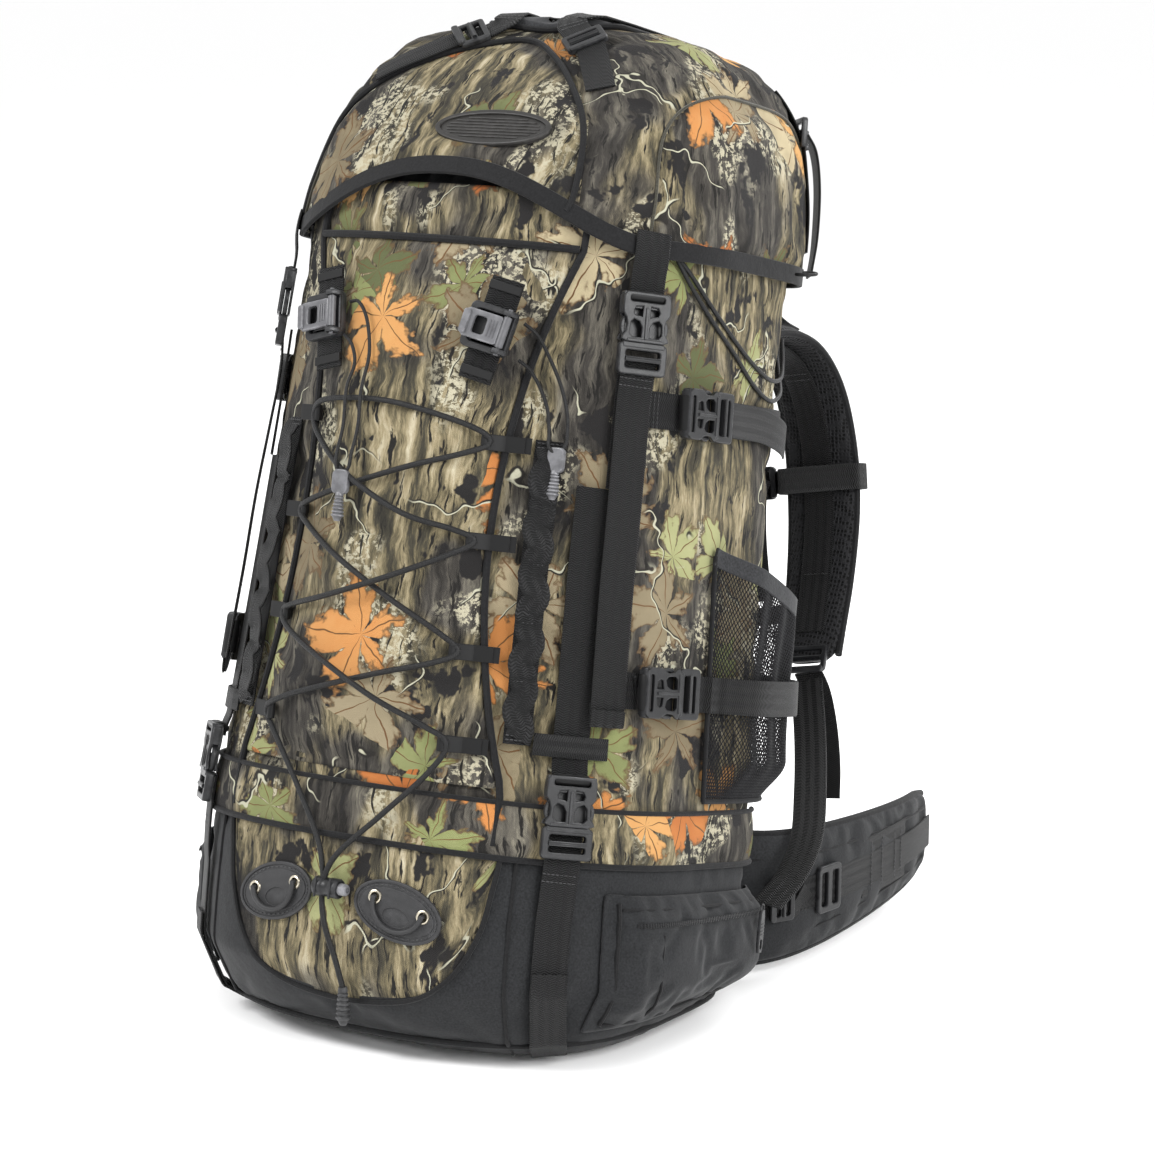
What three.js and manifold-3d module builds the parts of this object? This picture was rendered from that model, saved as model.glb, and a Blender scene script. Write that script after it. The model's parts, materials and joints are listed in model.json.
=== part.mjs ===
// A tall hunting backpack, standing on its base. Millimetres, +Z up.
// The front panel faces -Y, the harness faces +Y, and +X is the wearer's right side.
// The origin is the middle of the base, on the ground.
import * as THREE from 'three';
import { mergeVertices } from 'three/addons/utils/BufferGeometryUtils.js';
import Module from 'manifold-3d';

const wasm = await Module();
wasm.setup();

// ---------- driving dimensions ----------
const LEAN = THREE.MathUtils.degToRad(11.5); // the bag leans back above its base
const BEND_HEIGHT = 110; // height over which the lean builds up
const GAP = 0.3; // clearance between pieces that touch
const FABRIC = 3; // wall thickness of a sewn shell
const BASE_TOP = 130;
const BAG_BOTTOM = 133;
const BAG_TOP = 578;
const COLLAR_TOP = 606;
const HEM_HEIGHT = 543; // lower edge of the lid at the sides and back
const HEM_ARCH = 46; // how much higher the hem is at the front
const LID_OFFSET = 8;
const BADGE_TILT = THREE.MathUtils.degToRad(51);
const WEBBING = 25; // strap width
const WEB_THICK = 1.8;
const FRONT_POWER = 2.4; // section: rounder in front, squarer behind
const BACK_POWER = 5;
const STRAP_TURN = -38; // degrees round the section where the corner straps run
const DAISY_TURN = -55;
const BUCKLE_WIDTH = 35;
const BUCKLE_THICK = 9;
const FEMALE_LENGTH = 34;
const MALE_LENGTH = 22;
const CORD = 4;
const SEGMENTS = 32; // round a sewn shell
const POCKET_LOW = 172; // the front pocket
const POCKET_HIGH = 537;
const POCKET_BULGE = 15;
const LID_BUCKLE_HEIGHT = 480;
const BASE_BUCKLE_HEIGHT = 152;
const UPPER_STRAP_HEIGHT = 437;
const LOWER_STRAP_HEIGHT = 246;
const CLIP_HEIGHT = 478;
const CLIP_ACROSS = 60; // from the middle
const PIN_ACROSS = 13; // the lever's hinge pin, from the clip's centre and above the wall
const PIN_RADIUS = 1.7;
const LOCK_HEIGHT = 96;
const PATCH_HEIGHT = 88;
const PATCH_ACROSS = 50;
const LOOP_RADIUS = 19;
const LACE_LIFT = 1.8; // the lacing's clearance over the pocket
const HAUL_HEIGHT = 516;
const PAD_WIDTH = 62;
const PAD_THICK = 13;
const WING_THICK = 14;
// height, half-width, depth in front of and behind the centre line
const STATIONS = [
  [0, 150, 100, 104],
  [18, 171, 140, 119],
  [50, 182, 162, 126],
  [133, 182, 158, 128],
  [320, 170, 146, 127],
  [450, 164, 134, 131],
  [550, 160, 124, 138],
  [640, 152, 104, 140],
];
// the lacing: across, up the body, lift above the pocket
const LACE_ROUTE = [
  [-3, 100, 7], [-14, 122, 3], [-38, 156, 2], [-58, 184, 3], [-69, 204, 4], [-54, 214, 3],
  [-18, 227, 1], [22, 241, 1], [55, 252, 3], [69, 261, 4], [56, 272, 3], [20, 292, 1],
  [-22, 316, 1], [-55, 335, 3], [-68, 344, 4], [-55, 352, 3], [-18, 366, 1], [22, 382, 1],
  [54, 394, 3], [69, 403, 4], [54, 413, 3], [0, 424, 1], [-50, 422, 3], [-69, 412, 4],
  [-58, 396, 3], [-20, 372, 6], [22, 350, 6], [55, 342, 3], [69, 336, 4], [56, 326, 3],
  [20, 306, 6], [-22, 288, 6], [-56, 279, 3], [-69, 273, 4], [-56, 262, 3], [-18, 245, 6],
  [22, 224, 6], [55, 209, 3], [70, 199, 4], [60, 178, 3], [32, 146, 3], [4, 114, 7],
  [-3, 96, 7], [0, 78, 6], [8, 60, 2], [13, 44, 2],
];
const PAD_ROUTE = [
  [64, 243, 440], [66, 265, 457], [70, 300, 461], [77, 336, 446], [84, 360, 412],
  [90, 370, 365], [98, 362, 315], [106, 342, 266], [113, 318, 228], [118, 302, 208],
];
const LOWER_ROUTE = [
  [120, 296, 196], [142, 262, 160], [164, 222, 132], [184, 180, 108], [189, 148, 88], [184, 122, 72],
];
// in plan, on the right
const WING_ROUTE = [
  [108, 152], [136, 158], [156, 182], [166, 228], [168, 300], [162, 375], [148, 440],
];
// the side straps: distance behind the centre line, offset from the wall
const UPPER_ROUTE = [
  [-72, 2.2], [-40, 2.2], [-10, 2.6], [10, 3], [30, 3], [55, 2.8], [80, 2.8], [104, 3], [118, 3], [125, 3],
];
const LOWER_STRAP_ROUTE = [
  [-88, 2.2], [-70, 4], [-40, 4], [-20, 4], [-5, 4.6], [3, 10], [12, 14], [25, 22.5],
  [38, 27.5], [60, 28], [80, 27.5], [96, 25], [108, 17], [117, 12], [123, 10],
];

// ---------- materials ----------
const material = (color, roughness, metalness = 0) =>
  new THREE.MeshStandardMaterial({ color, roughness, metalness });
const CAMO = material(0x6f664c, 0.9);
const BLACK_FABRIC = material(0x26282b, 0.9);
const WEB = material(0x1c1d1f, 0.75);
const MESH = material(0x1a1a1b, 0.85);
const PLASTIC = material(0x2b2c2e, 0.45);
const RUBBER = material(0x232323, 0.6);
const ALUMINIUM = material(0xb8babd, 0.35, 1);

const pack = new THREE.Group();

// ---------- the leaning body ----------
// One frame of the centre line: an arc over the base, then straight and leaning back.
function spine(height) {
  const radius = BEND_HEIGHT / LEAN;
  const lean = (Math.min(height, BEND_HEIGHT) / BEND_HEIGHT) * LEAN;
  const beyond = Math.max(0, height - BEND_HEIGHT);
  return {
    lean,
    y: radius * (1 - Math.cos(lean)) + beyond * Math.sin(lean),
    z: radius * Math.sin(lean) + beyond * Math.cos(lean),
  };
}

function sizeAt(height) {
  const last = STATIONS.length - 1;
  let row = 1;
  while (row < last && height > STATIONS[row][0]) row += 1;
  const [low, high] = [STATIONS[row - 1], STATIONS[row]];
  const share = (height - low[0]) / (high[0] - low[0]);
  return [1, 2, 3].map((column) => THREE.MathUtils.lerp(low[column], high[column], share));
}

// A point given across, behind and along the leaning centre line.
function place(x, back, height) {
  const { lean, y, z } = spine(height);
  return new THREE.Vector3(x, y + back * Math.cos(lean), z - back * Math.sin(lean));
}

// A point on the wall; turn 0 is +X, -90 is the middle of the front, 90 the middle of the back.
function wall(turn, height, offset = 0) {
  const angle = THREE.MathUtils.degToRad(turn);
  const [width, front, behind] = sizeAt(height);
  const inBack = Math.sin(angle) > 0;
  const power = 2 / (inBack ? BACK_POWER : FRONT_POWER);
  const rounded = (value) => Math.sign(value) * Math.abs(value) ** power;
  const x = (width + offset) * rounded(Math.cos(angle));
  const back = ((inBack ? behind : front) + offset) * rounded(Math.sin(angle));
  return place(x, back, height);
}

// The turn at which the front wall stands a given distance from the middle.
function turnAcross(x, height) {
  const [width] = sizeAt(height);
  const side = THREE.MathUtils.radToDeg(Math.acos(Math.abs(x / width) ** (FRONT_POWER / 2)));
  return x < 0 ? side - 180 : -side;
}

// The turn at which a side wall stands a given distance behind the centre line.
function turnBehind(back, height, side) {
  const [, front, behind] = sizeAt(height);
  const share = back < 0 ? (-back / front) ** (FRONT_POWER / 2) : (back / behind) ** (BACK_POWER / 2);
  const turn = Math.sign(back) * THREE.MathUtils.radToDeg(Math.asin(share));
  return side > 0 ? turn : 180 - turn;
}

// Right-handed axes on the wall: x along the section, y up the wall, z outwards.
function wallFrame(turn, height, offset = 0, spin = 0) {
  const step = 1;
  const along = wall(turn + step, height, offset).sub(wall(turn - step, height, offset)).normalize();
  const up = wall(turn, height + step, offset).sub(wall(turn, height - step, offset)).normalize();
  const out = along.clone().cross(up).normalize();
  const matrix = new THREE.Matrix4().makeBasis(along, out.clone().cross(along), out);
  matrix.setPosition(wall(turn, height, offset));
  return matrix.multiply(new THREE.Matrix4().makeRotationZ(THREE.MathUtils.degToRad(spin)));
}

// ---------- solids ----------
function closed(geometry) {
  const bare = geometry.index ? geometry.clone() : geometry;
  bare.deleteAttribute('normal');
  bare.deleteAttribute('uv');
  return mergeVertices(bare, 1e-4);
}

function volumeOf(geometry) {
  const { array } = geometry.index;
  const corner = (n) => new THREE.Vector3().fromBufferAttribute(geometry.attributes.position, array[n]);
  let sum = 0;
  for (let n = 0; n < array.length; n += 3) sum += corner(n).dot(corner(n + 1).cross(corner(n + 2)));
  return sum / 6;
}

// Turns the faces outwards, which a warp or a mirrored copy can leave reversed.
function facingOut(geometry) {
  const solid = closed(geometry);
  if (volumeOf(solid) < 0) solid.setIndex([...solid.index.array].reverse());
  return solid;
}

function toManifold(geometry) {
  const solid = facingOut(geometry);
  return new wasm.Manifold(new wasm.Mesh({
    numProp: 3,
    vertProperties: solid.attributes.position.array,
    triVerts: Uint32Array.from(solid.index.array),
  }));
}

function fromManifold(solid) {
  const mesh = solid.getMesh();
  const geometry = new THREE.BufferGeometry();
  geometry.setAttribute('position', new THREE.BufferAttribute(mesh.vertProperties, 3));
  geometry.setIndex(new THREE.BufferAttribute(mesh.triVerts, 1));
  return geometry;
}

const cut = (body, ...tools) =>
  fromManifold(tools.reduce((rest, tool) => rest.subtract(toManifold(tool)), toManifold(body)));
const join = (body, ...others) =>
  fromManifold(others.reduce((whole, other) => whole.add(toManifold(other)), toManifold(body)));

function add(name, geometry, look, matrix) {
  const shaped = matrix ? geometry.clone().applyMatrix4(matrix) : geometry;
  const solid = facingOut(shaped);
  solid.computeVertexNormals();
  const mesh = new THREE.Mesh(solid, look);
  mesh.name = name;
  pack.add(mesh);
  return mesh;
}

function box(width, height, depth, x = 0, y = 0, z = 0) {
  return new THREE.BoxGeometry(width, height, depth).translate(x, y, z);
}

// A shell of revolution pressed into the body's section.
// profileAt(turn) lists [offset, height, reach]; reach is 0 on the centre line and 1 at the wall.
function sewnShell(profileAt) {
  const count = profileAt(0).length;
  const reach = (n) => (n % (count - 1) === 0 ? 0 : 1); // the outline starts and ends on the axis
  const outline = profileAt(0).map(([, height], n) => new THREE.Vector2(reach(n), height));
  const geometry = new THREE.LatheGeometry(outline, SEGMENTS);
  const { position } = geometry.attributes;
  for (let n = 0; n < position.count; n += 1) {
    const turn = (Math.floor(n / count) % SEGMENTS) * (360 / SEGMENTS);
    const [offset, height, reach] = profileAt(turn)[n % count];
    const point = place(0, 0, height).lerp(wall(turn, height, offset), reach);
    position.setXYZ(n, point.x, point.y, point.z);
  }
  return geometry;
}

// A block bent over the wall. u runs along the section, v up it; inner and outer give the offsets.
function wallBlock({ turnAt, heightAt, inner, outer, columns, rows }) {
  const geometry = new THREE.BoxGeometry(1, 1, 1, columns, rows, 1);
  const { position } = geometry.attributes;
  for (let n = 0; n < position.count; n += 1) {
    const u = position.getX(n) + 0.5;
    const v = position.getY(n) + 0.5;
    const offset = position.getZ(n) > 0 ? outer(u, v) : inner(u, v);
    const point = wall(turnAt(u, v), heightAt(u, v), offset);
    position.setXYZ(n, point.x, point.y, point.z);
  }
  return geometry;
}

// A flat strap bent along stops of { point, out }; width is a number or a function of the stop.
function strap(stops, width, thick) {
  const last = stops.length - 1;
  const geometry = new THREE.BoxGeometry(1, 1, 1, last, 1, 1);
  const { position } = geometry.attributes;
  const frames = stops.map(({ point, out }, n) => {
    const ahead = stops[Math.min(n + 1, last)].point.clone().sub(stops[Math.max(n - 1, 0)].point);
    const across = ahead.cross(out).normalize();
    return { point, out, across, width: typeof width === 'number' ? width : width(n) };
  });
  for (let n = 0; n < position.count; n += 1) {
    const frame = frames[Math.round((position.getX(n) + 0.5) * last)];
    const spot = frame.point.clone()
      .addScaledVector(frame.out, position.getY(n) * thick)
      .addScaledVector(frame.across, position.getZ(n) * frame.width);
    position.setXYZ(n, spot.x, spot.y, spot.z);
  }
  return geometry;
}

// A strap's stops on the wall; each stop is [turn, height, offset of the strap's middle].
function wallStops(list) {
  return list.map(([turn, height, offset]) => {
    const out = new THREE.Vector3().setFromMatrixColumn(wallFrame(turn, height, offset), 2);
    return { point: wall(turn, height, offset), out };
  });
}

// Stops in a plane of constant x, with the outward side on the left of the path.
function planeStops(x, list) {
  return list.map(([y, z], n) => {
    const [y0, z0] = list[Math.max(n - 1, 0)];
    const [y1, z1] = list[Math.min(n + 1, list.length - 1)];
    const out = new THREE.Vector3(0, z1 - z0, y0 - y1).normalize();
    return { point: new THREE.Vector3(Array.isArray(x) ? x[n] : x, y, z), out };
  });
}

function cordAlong(points, diameter, steps, sides) {
  const section = new THREE.Shape();
  section.absarc(0, 0, diameter / 2, 0, Math.PI * 2);
  const curve = new THREE.CatmullRomCurve3(points);
  return new THREE.ExtrudeGeometry(section, { curveSegments: sides / 2, steps, extrudePath: curve });
}

const smooth = (value) => THREE.MathUtils.smoothstep(value, 0, 1);
const rise = (value, edge) => smooth(Math.min(value, 1 - value) / edge);

// ---------- bag ----------
function bagShells() {
  add('base_tub', sewnShell(() => [
    [0, 0, 0], [0, 0, 1], [0, 18, 1], [0, 50, 1], [0, 90, 1], [0, BASE_TOP, 1],
    [-FABRIC, BASE_TOP, 1], [-FABRIC, 50, 1], [-FABRIC, 20, 1], [-FABRIC, FABRIC, 1], [0, FABRIC, 0],
  ]), BLACK_FABRIC);
  add('main_bag', sewnShell(() => [
    [0, BAG_BOTTOM, 0], [0, BAG_BOTTOM, 1], [0, 320, 1], [0, 450, 1], [0, 550, 1], [0, BAG_TOP, 1],
    [-FABRIC, BAG_TOP, 1], [-FABRIC, 450, 1], [-FABRIC, 320, 1], [-FABRIC, BAG_BOTTOM + FABRIC, 1],
    [0, BAG_BOTTOM + FABRIC, 0],
  ]), CAMO);
}

// The collar is a sleeve of thin cloth standing on the bag's rim.
function snowCollar() {
  const foot = BAG_TOP + GAP;
  const rings = [[-1, foot], [-22, COLLAR_TOP], [-24, COLLAR_TOP], [-FABRIC, foot], [-1, foot]];
  const outline = rings.map(([offset, height]) => new THREE.Vector2(150 + offset, height));
  const geometry = new THREE.LatheGeometry(outline, SEGMENTS);
  const { position } = geometry.attributes;
  for (let n = 0; n < position.count; n += 1) {
    const turn = (Math.floor(n / rings.length) % SEGMENTS) * (360 / SEGMENTS);
    const [offset, height] = rings[n % rings.length];
    const point = wall(turn, height, offset);
    position.setXYZ(n, point.x, point.y, point.z);
  }
  add('snow_collar', geometry, BLACK_FABRIC);
}

function hemHeight(turn) {
  const fromFront = Math.abs(((turn + 90 + 540) % 360) - 180) / 58;
  return HEM_HEIGHT + HEM_ARCH * (1 - smooth(fromFront));
}

function lid() {
  // The front slopes back from the hem; the sides and back stand up and then turn in.
  const outer = (turn) => {
    const hem = hemHeight(turn);
    const slope = Math.max(0, -Math.sin(THREE.MathUtils.degToRad(turn))) ** 1.2;
    const front = [
      [LID_OFFSET, hem, 1], [LID_OFFSET - 2, hem + 12, 1], [0, 614, 0.95],
      [0, 641, 0.8], [0, 668, 0.56], [0, 688, 0.34], [0, 699, 0.15],
    ];
    const behind = [
      [LID_OFFSET, hem, 1], [LID_OFFSET + 1, 592, 1], [LID_OFFSET - 3, 636, 1],
      [0, 668, 0.95], [0, 688, 0.82], [0, 700, 0.6], [0, 706, 0.3],
    ];
    return behind.map((row, n) => row.map((value, k) => THREE.MathUtils.lerp(value, front[n][k], slope)));
  };
  const roof = [0, 708, 0];
  const profile = (turn) => {
    const skin = outer(turn);
    const lining = skin.slice().reverse().map(([offset, height, reach]) => (
      reach === 1 ? [offset - FABRIC, height, 1] : [offset - FABRIC * reach, height - FABRIC, reach * 0.985]
    ));
    return [[0, roof[1] - FABRIC, 0], ...lining, ...skin, roof];
  };
  add('lid', sewnShell(profile), CAMO);
  const onTop = new THREE.Matrix4().makeRotationX(BADGE_TILT - LEAN);
  onTop.setPosition(place(26, -105, 617));
  const oval = new THREE.Shape().absellipse(0, 0, 47, 17, 0, Math.PI * 2);
  const plate = new THREE.ExtrudeGeometry(oval, { depth: 4, bevelEnabled: false, curveSegments: 12 });
  add('badge', plate, RUBBER, onTop);
}

// The pocket is narrowest at mid height.
function pocketHalfWidth(v) {
  return 74 + 30 * (2 * v - 1) ** 2;
}

function frontPocket() {
  const heightAt = (u, v) => THREE.MathUtils.lerp(POCKET_LOW, POCKET_HIGH, v);
  add('front_pocket', wallBlock({
    turnAt: (u, v) => turnAcross((2 * u - 1) * pocketHalfWidth(v), heightAt(u, v)),
    heightAt,
    inner: () => 1.2,
    outer: (u, v) => 3 + POCKET_BULGE * rise(u, 0.3) * rise(v, 0.16),
    columns: 10,
    rows: 8,
  }), CAMO);
}

function stormFlap() {
  add('storm_flap', wallBlock({
    turnAt: (u) => -215 + 250 * u,
    heightAt: (u, v) => 126 + 38 * v,
    inner: () => 1.2,
    outer: () => 3.4,
    columns: 36,
    rows: 3,
  }), CAMO);
}

// ---------- frame and back ----------
function frameAndBack() {
  const behindAt = (height) => sizeAt(height)[2];
  const slab = (name, half, low, high, near, thick, look, x = 0) => {
    const geometry = new THREE.BoxGeometry(half * 2, 1, 1, 2, 1, 6);
    const { position } = geometry.attributes;
    for (let n = 0; n < position.count; n += 1) {
      const height = THREE.MathUtils.lerp(low, high, position.getZ(n) + 0.5);
      const back = behindAt(height) + near + (position.getY(n) + 0.5) * thick;
      const point = place(position.getX(n) + x, back, height);
      position.setXYZ(n, point.x, point.y, point.z);
    }
    add(name, geometry, look);
  };
  slab('frame_sheet', 118, 165, 520, GAP + 0.3, 2, PLASTIC);
  for (const [name, side] of [['stay_left', -1], ['stay_right', 1]]) {
    slab(name, 12, 170, 515, 3, 3, ALUMINIUM, side * 60);
  }
  slab('back_panel', 125, 160, 525, 6.4, 13, MESH);
  slab('lumbar_pad', 100, 40, 140, 1.2, 24, MESH);
}

// ---------- pockets ----------
function meshPocket(name, side) {
  const { lerp } = THREE.MathUtils;
  const panel = ([near, far], [low, high], drop, inner, outer) => wallBlock({
    turnAt: (u, v) => turnBehind(lerp(near, far, u), lerp(low, high, v), side),
    heightAt: (u, v) => lerp(low, high - drop * u, v),
    inner: () => inner,
    outer,
    columns: 9,
    rows: 5,
  });
  const outside = (u, v) => 7 + 17.5 * rise(u, 0.3) * smooth((v + 0.04) / 0.25);
  const inside = (u, v) => 5.8 + 15.2 * rise(u, 0.32) * smooth((v + 0.02) / 0.2);
  const body = panel([2, 121], [172, 342], 44, 3.9, outside);
  const hollow = panel([8, 115], [179, 365], 40, 5.4, inside);
  add(name, cut(body, hollow), MESH);
}

function cargoPocket(name, side) {
  add(name, wallBlock({
    turnAt: (u, v) => turnBehind(THREE.MathUtils.lerp(-84, 106, u), 24 + 84 * v, side),
    heightAt: (u, v) => 24 + 84 * v,
    inner: () => 2.6,
    outer: (u, v) => 4.2 + 11 * rise(u, 0.14) * rise(v, 0.2),
    columns: 10,
    rows: 6,
  }), BLACK_FABRIC);
}

// ---------- buckles and straps ----------
// Local axes: x across, y along the strap, z out of the wall. The mouth is at y = 0.
function femaleBuckle() {
  const shell = box(BUCKLE_WIDTH, FEMALE_LENGTH, BUCKLE_THICK, 0, FEMALE_LENGTH / 2, BUCKLE_THICK / 2);
  const cavity = box(BUCKLE_WIDTH - 5, 26, BUCKLE_THICK - 2, 0, 11, BUCKLE_THICK / 2 - 1.5);
  const bar = box(WEBBING, 4, BUCKLE_THICK + 2, 0, 29, BUCKLE_THICK / 2);
  return cut(shell, cavity, bar);
}

function maleBuckle() {
  const body = box(BUCKLE_WIDTH, MALE_LENGTH, BUCKLE_THICK - 1, 0, -MALE_LENGTH / 2 - GAP, BUCKLE_THICK / 2);
  const slot = box(WEBBING, 4, BUCKLE_THICK + 2, 0, -8, BUCKLE_THICK / 2);
  const lower = box(WEBBING, 4, BUCKLE_THICK + 2, 0, -16, BUCKLE_THICK / 2);
  const prongs = [-7, 7].map((x) => box(4, 12, 3, x, 5, 3.4));
  return join(cut(body, slot, lower), ...prongs);
}

// A strap on the wall with its female half fixed to it and its male half sliding on it.
// reach is how far below the female half the webbing lies.
function buckledStrap(name, stops, mouth, spin, reach) {
  const webbing = strap(wallStops(stops), WEBBING, WEB_THICK);
  const [turn, height, offset] = mouth;
  const frame = wallFrame(turn, height, offset, spin);
  const female = femaleBuckle().applyMatrix4(frame);
  const overlap = box(WEBBING - 3, 7, reach + 3, 0, FEMALE_LENGTH - 1, (3 - reach) / 2).applyMatrix4(frame);
  add(`${name}_webbing`, join(webbing, female, overlap), WEB);
  add(`${name}_male`, maleBuckle(), PLASTIC, frame);
}

function cornerStraps(side, hand) {
  const turnOn = (turn) => (side > 0 ? turn : -180 - turn);
  const lidTurn = turnOn(STRAP_TURN + 5);
  const baseTurn = turnOn(STRAP_TURN - 3);

  const lidFrame = wallFrame(lidTurn, LID_BUCKLE_HEIGHT, 7);
  const short = strap(wallStops([
    [lidTurn, 548, LID_OFFSET + 2.4], [lidTurn, 530, LID_OFFSET + 2.4], [lidTurn, 508, 8],
  ]), WEBBING, WEB_THICK);
  const tie = box(WEBBING - 3, 8, 4, 0, 32, 1.6).applyMatrix4(lidFrame);
  add(`lid_strap_${hand}`, join(short, femaleBuckle().applyMatrix4(lidFrame), tie), WEB);
  add(`lid_buckle_male_${hand}`, maleBuckle(), PLASTIC, lidFrame);
  add(`lid_webbing_${hand}`, strap(wallStops([
    [lidTurn, 470, 5], [lidTurn, 440, 5], [lidTurn, 400, 8], [lidTurn, 350, 9],
    [lidTurn, 300, 9], [lidTurn, 260, 9], [lidTurn, 224, 8],
  ]), WEBBING, WEB_THICK), WEB);

  buckledStrap(`base_strap_${hand}`, [
    [baseTurn, 380, 1.4], [baseTurn, 320, 1.4], [baseTurn, 260, 1.6], [baseTurn, 190, 2.6],
    [baseTurn, 172, 5], [baseTurn, 122, 5], [baseTurn, 90, 2.6], [baseTurn, 50, 1.8],
    [baseTurn, 18, 1.8], [baseTurn, 8, 1.8],
  ], [baseTurn, BASE_BUCKLE_HEIGHT, 6.4], 0, 4.6);
}

function sideStraps(side, hand) {
  const stop = (height, [back, offset]) => [turnBehind(back, height, side), height, offset];
  const buckled = (name, height, route, mouth, reach) => {
    const stops = route.map((spot) => stop(height, spot));
    buckledStrap(`${name}_${hand}`, stops, stop(height, mouth), side * 90, reach);
  };
  buckled('upper_strap', UPPER_STRAP_HEIGHT, UPPER_ROUTE, [-18, 4], 4.6);
  buckled('lower_strap', LOWER_STRAP_HEIGHT, LOWER_STRAP_ROUTE, [-42, 6], 6);
}

// ---------- front fittings ----------
function daisyChain(name, side) {
  const turnOn = (turn) => (side > 0 ? turn : -180 - turn);
  const stops = [405, 360, 315, 270, 225, 206].map((height) => [turnOn(DAISY_TURN), height, 4]);
  add(name, strap(wallStops(stops), 19, 7), WEB);
}

function leverClip(side, hand) {
  const turn = turnAcross(side * CLIP_ACROSS, CLIP_HEIGHT);
  const frame = wallFrame(turn, CLIP_HEIGHT, 17.5, side * -12);
  const tab = box(24, 66, 2.4, 0, 0, 2);
  const housing = box(34, 32, 7, 0, 0, 6);
  const ear = (y) => box(6, 5, 8, PIN_ACROSS, y, 12);
  const round = (radius, long) => (
    new THREE.CylinderGeometry(radius, radius, long, 12).translate(PIN_ACROSS, 0, PIN_ACROSS)
  );
  const pinHole = round(PIN_RADIUS + 0.1, 40);
  add(`clip_base_${hand}`, cut(join(tab, housing, ear(13.5), ear(-13.5)), pinHole), PLASTIC, frame);
  const pin = round(PIN_RADIUS, 31);
  const knuckle = box(4.6, 21.6, 4.6, PIN_ACROSS, 0, PIN_ACROSS);
  const blade = box(30, 21.6, 3, -4, 0, 13.4);
  add(`clip_lever_${hand}`, join(blade, knuckle, pin), PLASTIC, frame);
}

// How far the front pocket stands proud of the bag at a point.
function pocketDepth(x, height) {
  const v = THREE.MathUtils.clamp((height - POCKET_LOW) / (POCKET_HIGH - POCKET_LOW), 0, 1);
  const u = THREE.MathUtils.clamp(0.5 + x / (2 * pocketHalfWidth(v)), 0, 1);
  return 3 + POCKET_BULGE * rise(u, 0.3) * rise(v, 0.16);
}

function lacing() {
  const points = LACE_ROUTE.map(([x, height, lift]) => {
    const offset = (height > POCKET_LOW ? pocketDepth(x, height) : 3) + CORD / 2 + lift + LACE_LIFT;
    return wall(turnAcross(x, height), height, offset);
  });
  add('bungee_lacing', cordAlong(points, CORD, 80, 8), WEB);

  const lockFrame = wallFrame(-90, LOCK_HEIGHT, 12);
  const barrel = new THREE.CylinderGeometry(7, 7, 20, 16).rotateZ(Math.PI / 2);
  const cordHole = new THREE.CylinderGeometry(4.8, 4.8, 20, 12).translate(-3, 0, 0);
  const buttonBore = new THREE.CylinderGeometry(4.6, 4.6, 14, 16).rotateZ(Math.PI / 2).translate(9, 0, 0);
  add('cord_lock', cut(barrel, cordHole, buttonBore), PLASTIC, lockFrame);
  const button = new THREE.CylinderGeometry(4.2, 4.2, 11, 16).rotateZ(Math.PI / 2).translate(10.5, 0, 0);
  add('cord_lock_button', button, PLASTIC, lockFrame);

  const end = points.at(-1);
  const pullFrame = new THREE.Matrix4().setPosition(end.x, end.y, end.z - 13);
  add('cord_pull', new THREE.CylinderGeometry(3.2, 5.5, 25, 12).rotateX(Math.PI / 2), RUBBER, pullFrame);
}

function gearPatch(side, hand) {
  const turn = turnAcross(side * PATCH_ACROSS, PATCH_HEIGHT);
  const frame = wallFrame(turn, PATCH_HEIGHT, 1.8, side * -14);
  const oval = new THREE.Shape().absellipse(0, 0, 34, 20, 0, Math.PI * 2);
  const sheet = new THREE.ExtrudeGeometry(oval, { depth: 2.4, bevelEnabled: false, curveSegments: 12 });
  const eyelets = [-LOOP_RADIUS, LOOP_RADIUS].map((x) => (
    new THREE.CylinderGeometry(3, 3, 8, 12).rotateX(Math.PI / 2).translate(x, 4, 0)
  ));
  add(`gear_patch_${hand}`, cut(sheet, ...eyelets), RUBBER, frame);
  const arc = Array.from({ length: 13 }, (_, n) => {
    const angle = Math.PI * (1 + n / 12);
    return new THREE.Vector3(LOOP_RADIUS * Math.cos(angle), 4 + 17 * Math.sin(angle), 5.4);
  });
  add(`gear_loop_${hand}`, cordAlong(arc, CORD, 16, 8), RUBBER, frame);
}

// ---------- harness ----------
function harness(side, hand) {
  const pad = PAD_ROUTE.map(([x, y, z]) => [x * side, y, z]);
  const padStops = planeStops(pad.map(([x]) => x), pad.map(([, y, z]) => [y, z]));
  add(`shoulder_strap_${hand}`, strap(padStops, PAD_WIDTH, PAD_THICK), MESH);

  const lower = LOWER_ROUTE.map(([x, y, z]) => [x * side, y, z]);
  const lowerStops = planeStops(lower.map(([x]) => x), lower.map(([, y, z]) => [y, z]));
  add(`shoulder_webbing_${hand}`, strap(lowerStops, WEBBING, WEB_THICK), WEB);

  const [above, below] = [pad[5], pad[6]].map((point) => new THREE.Vector3(...point));
  const up = above.clone().sub(below).normalize();
  const out = new THREE.Vector3(1, 0, 0).cross(up).normalize();
  const frame = new THREE.Matrix4().makeBasis(up.clone().cross(out), up, out);
  frame.setPosition(above.clone().lerp(below, 0.5));
  const sleeve = cut(box(PAD_WIDTH + 10, 20, PAD_THICK + 9), box(PAD_WIDTH + 6, 30, PAD_THICK + 6));
  const arm = box(26, 18, 3, -side * (PAD_WIDTH / 2 + 17), 0, 0);
  add(`sternum_strap_${hand}`, join(sleeve, arm), WEB, frame);
}

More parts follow.
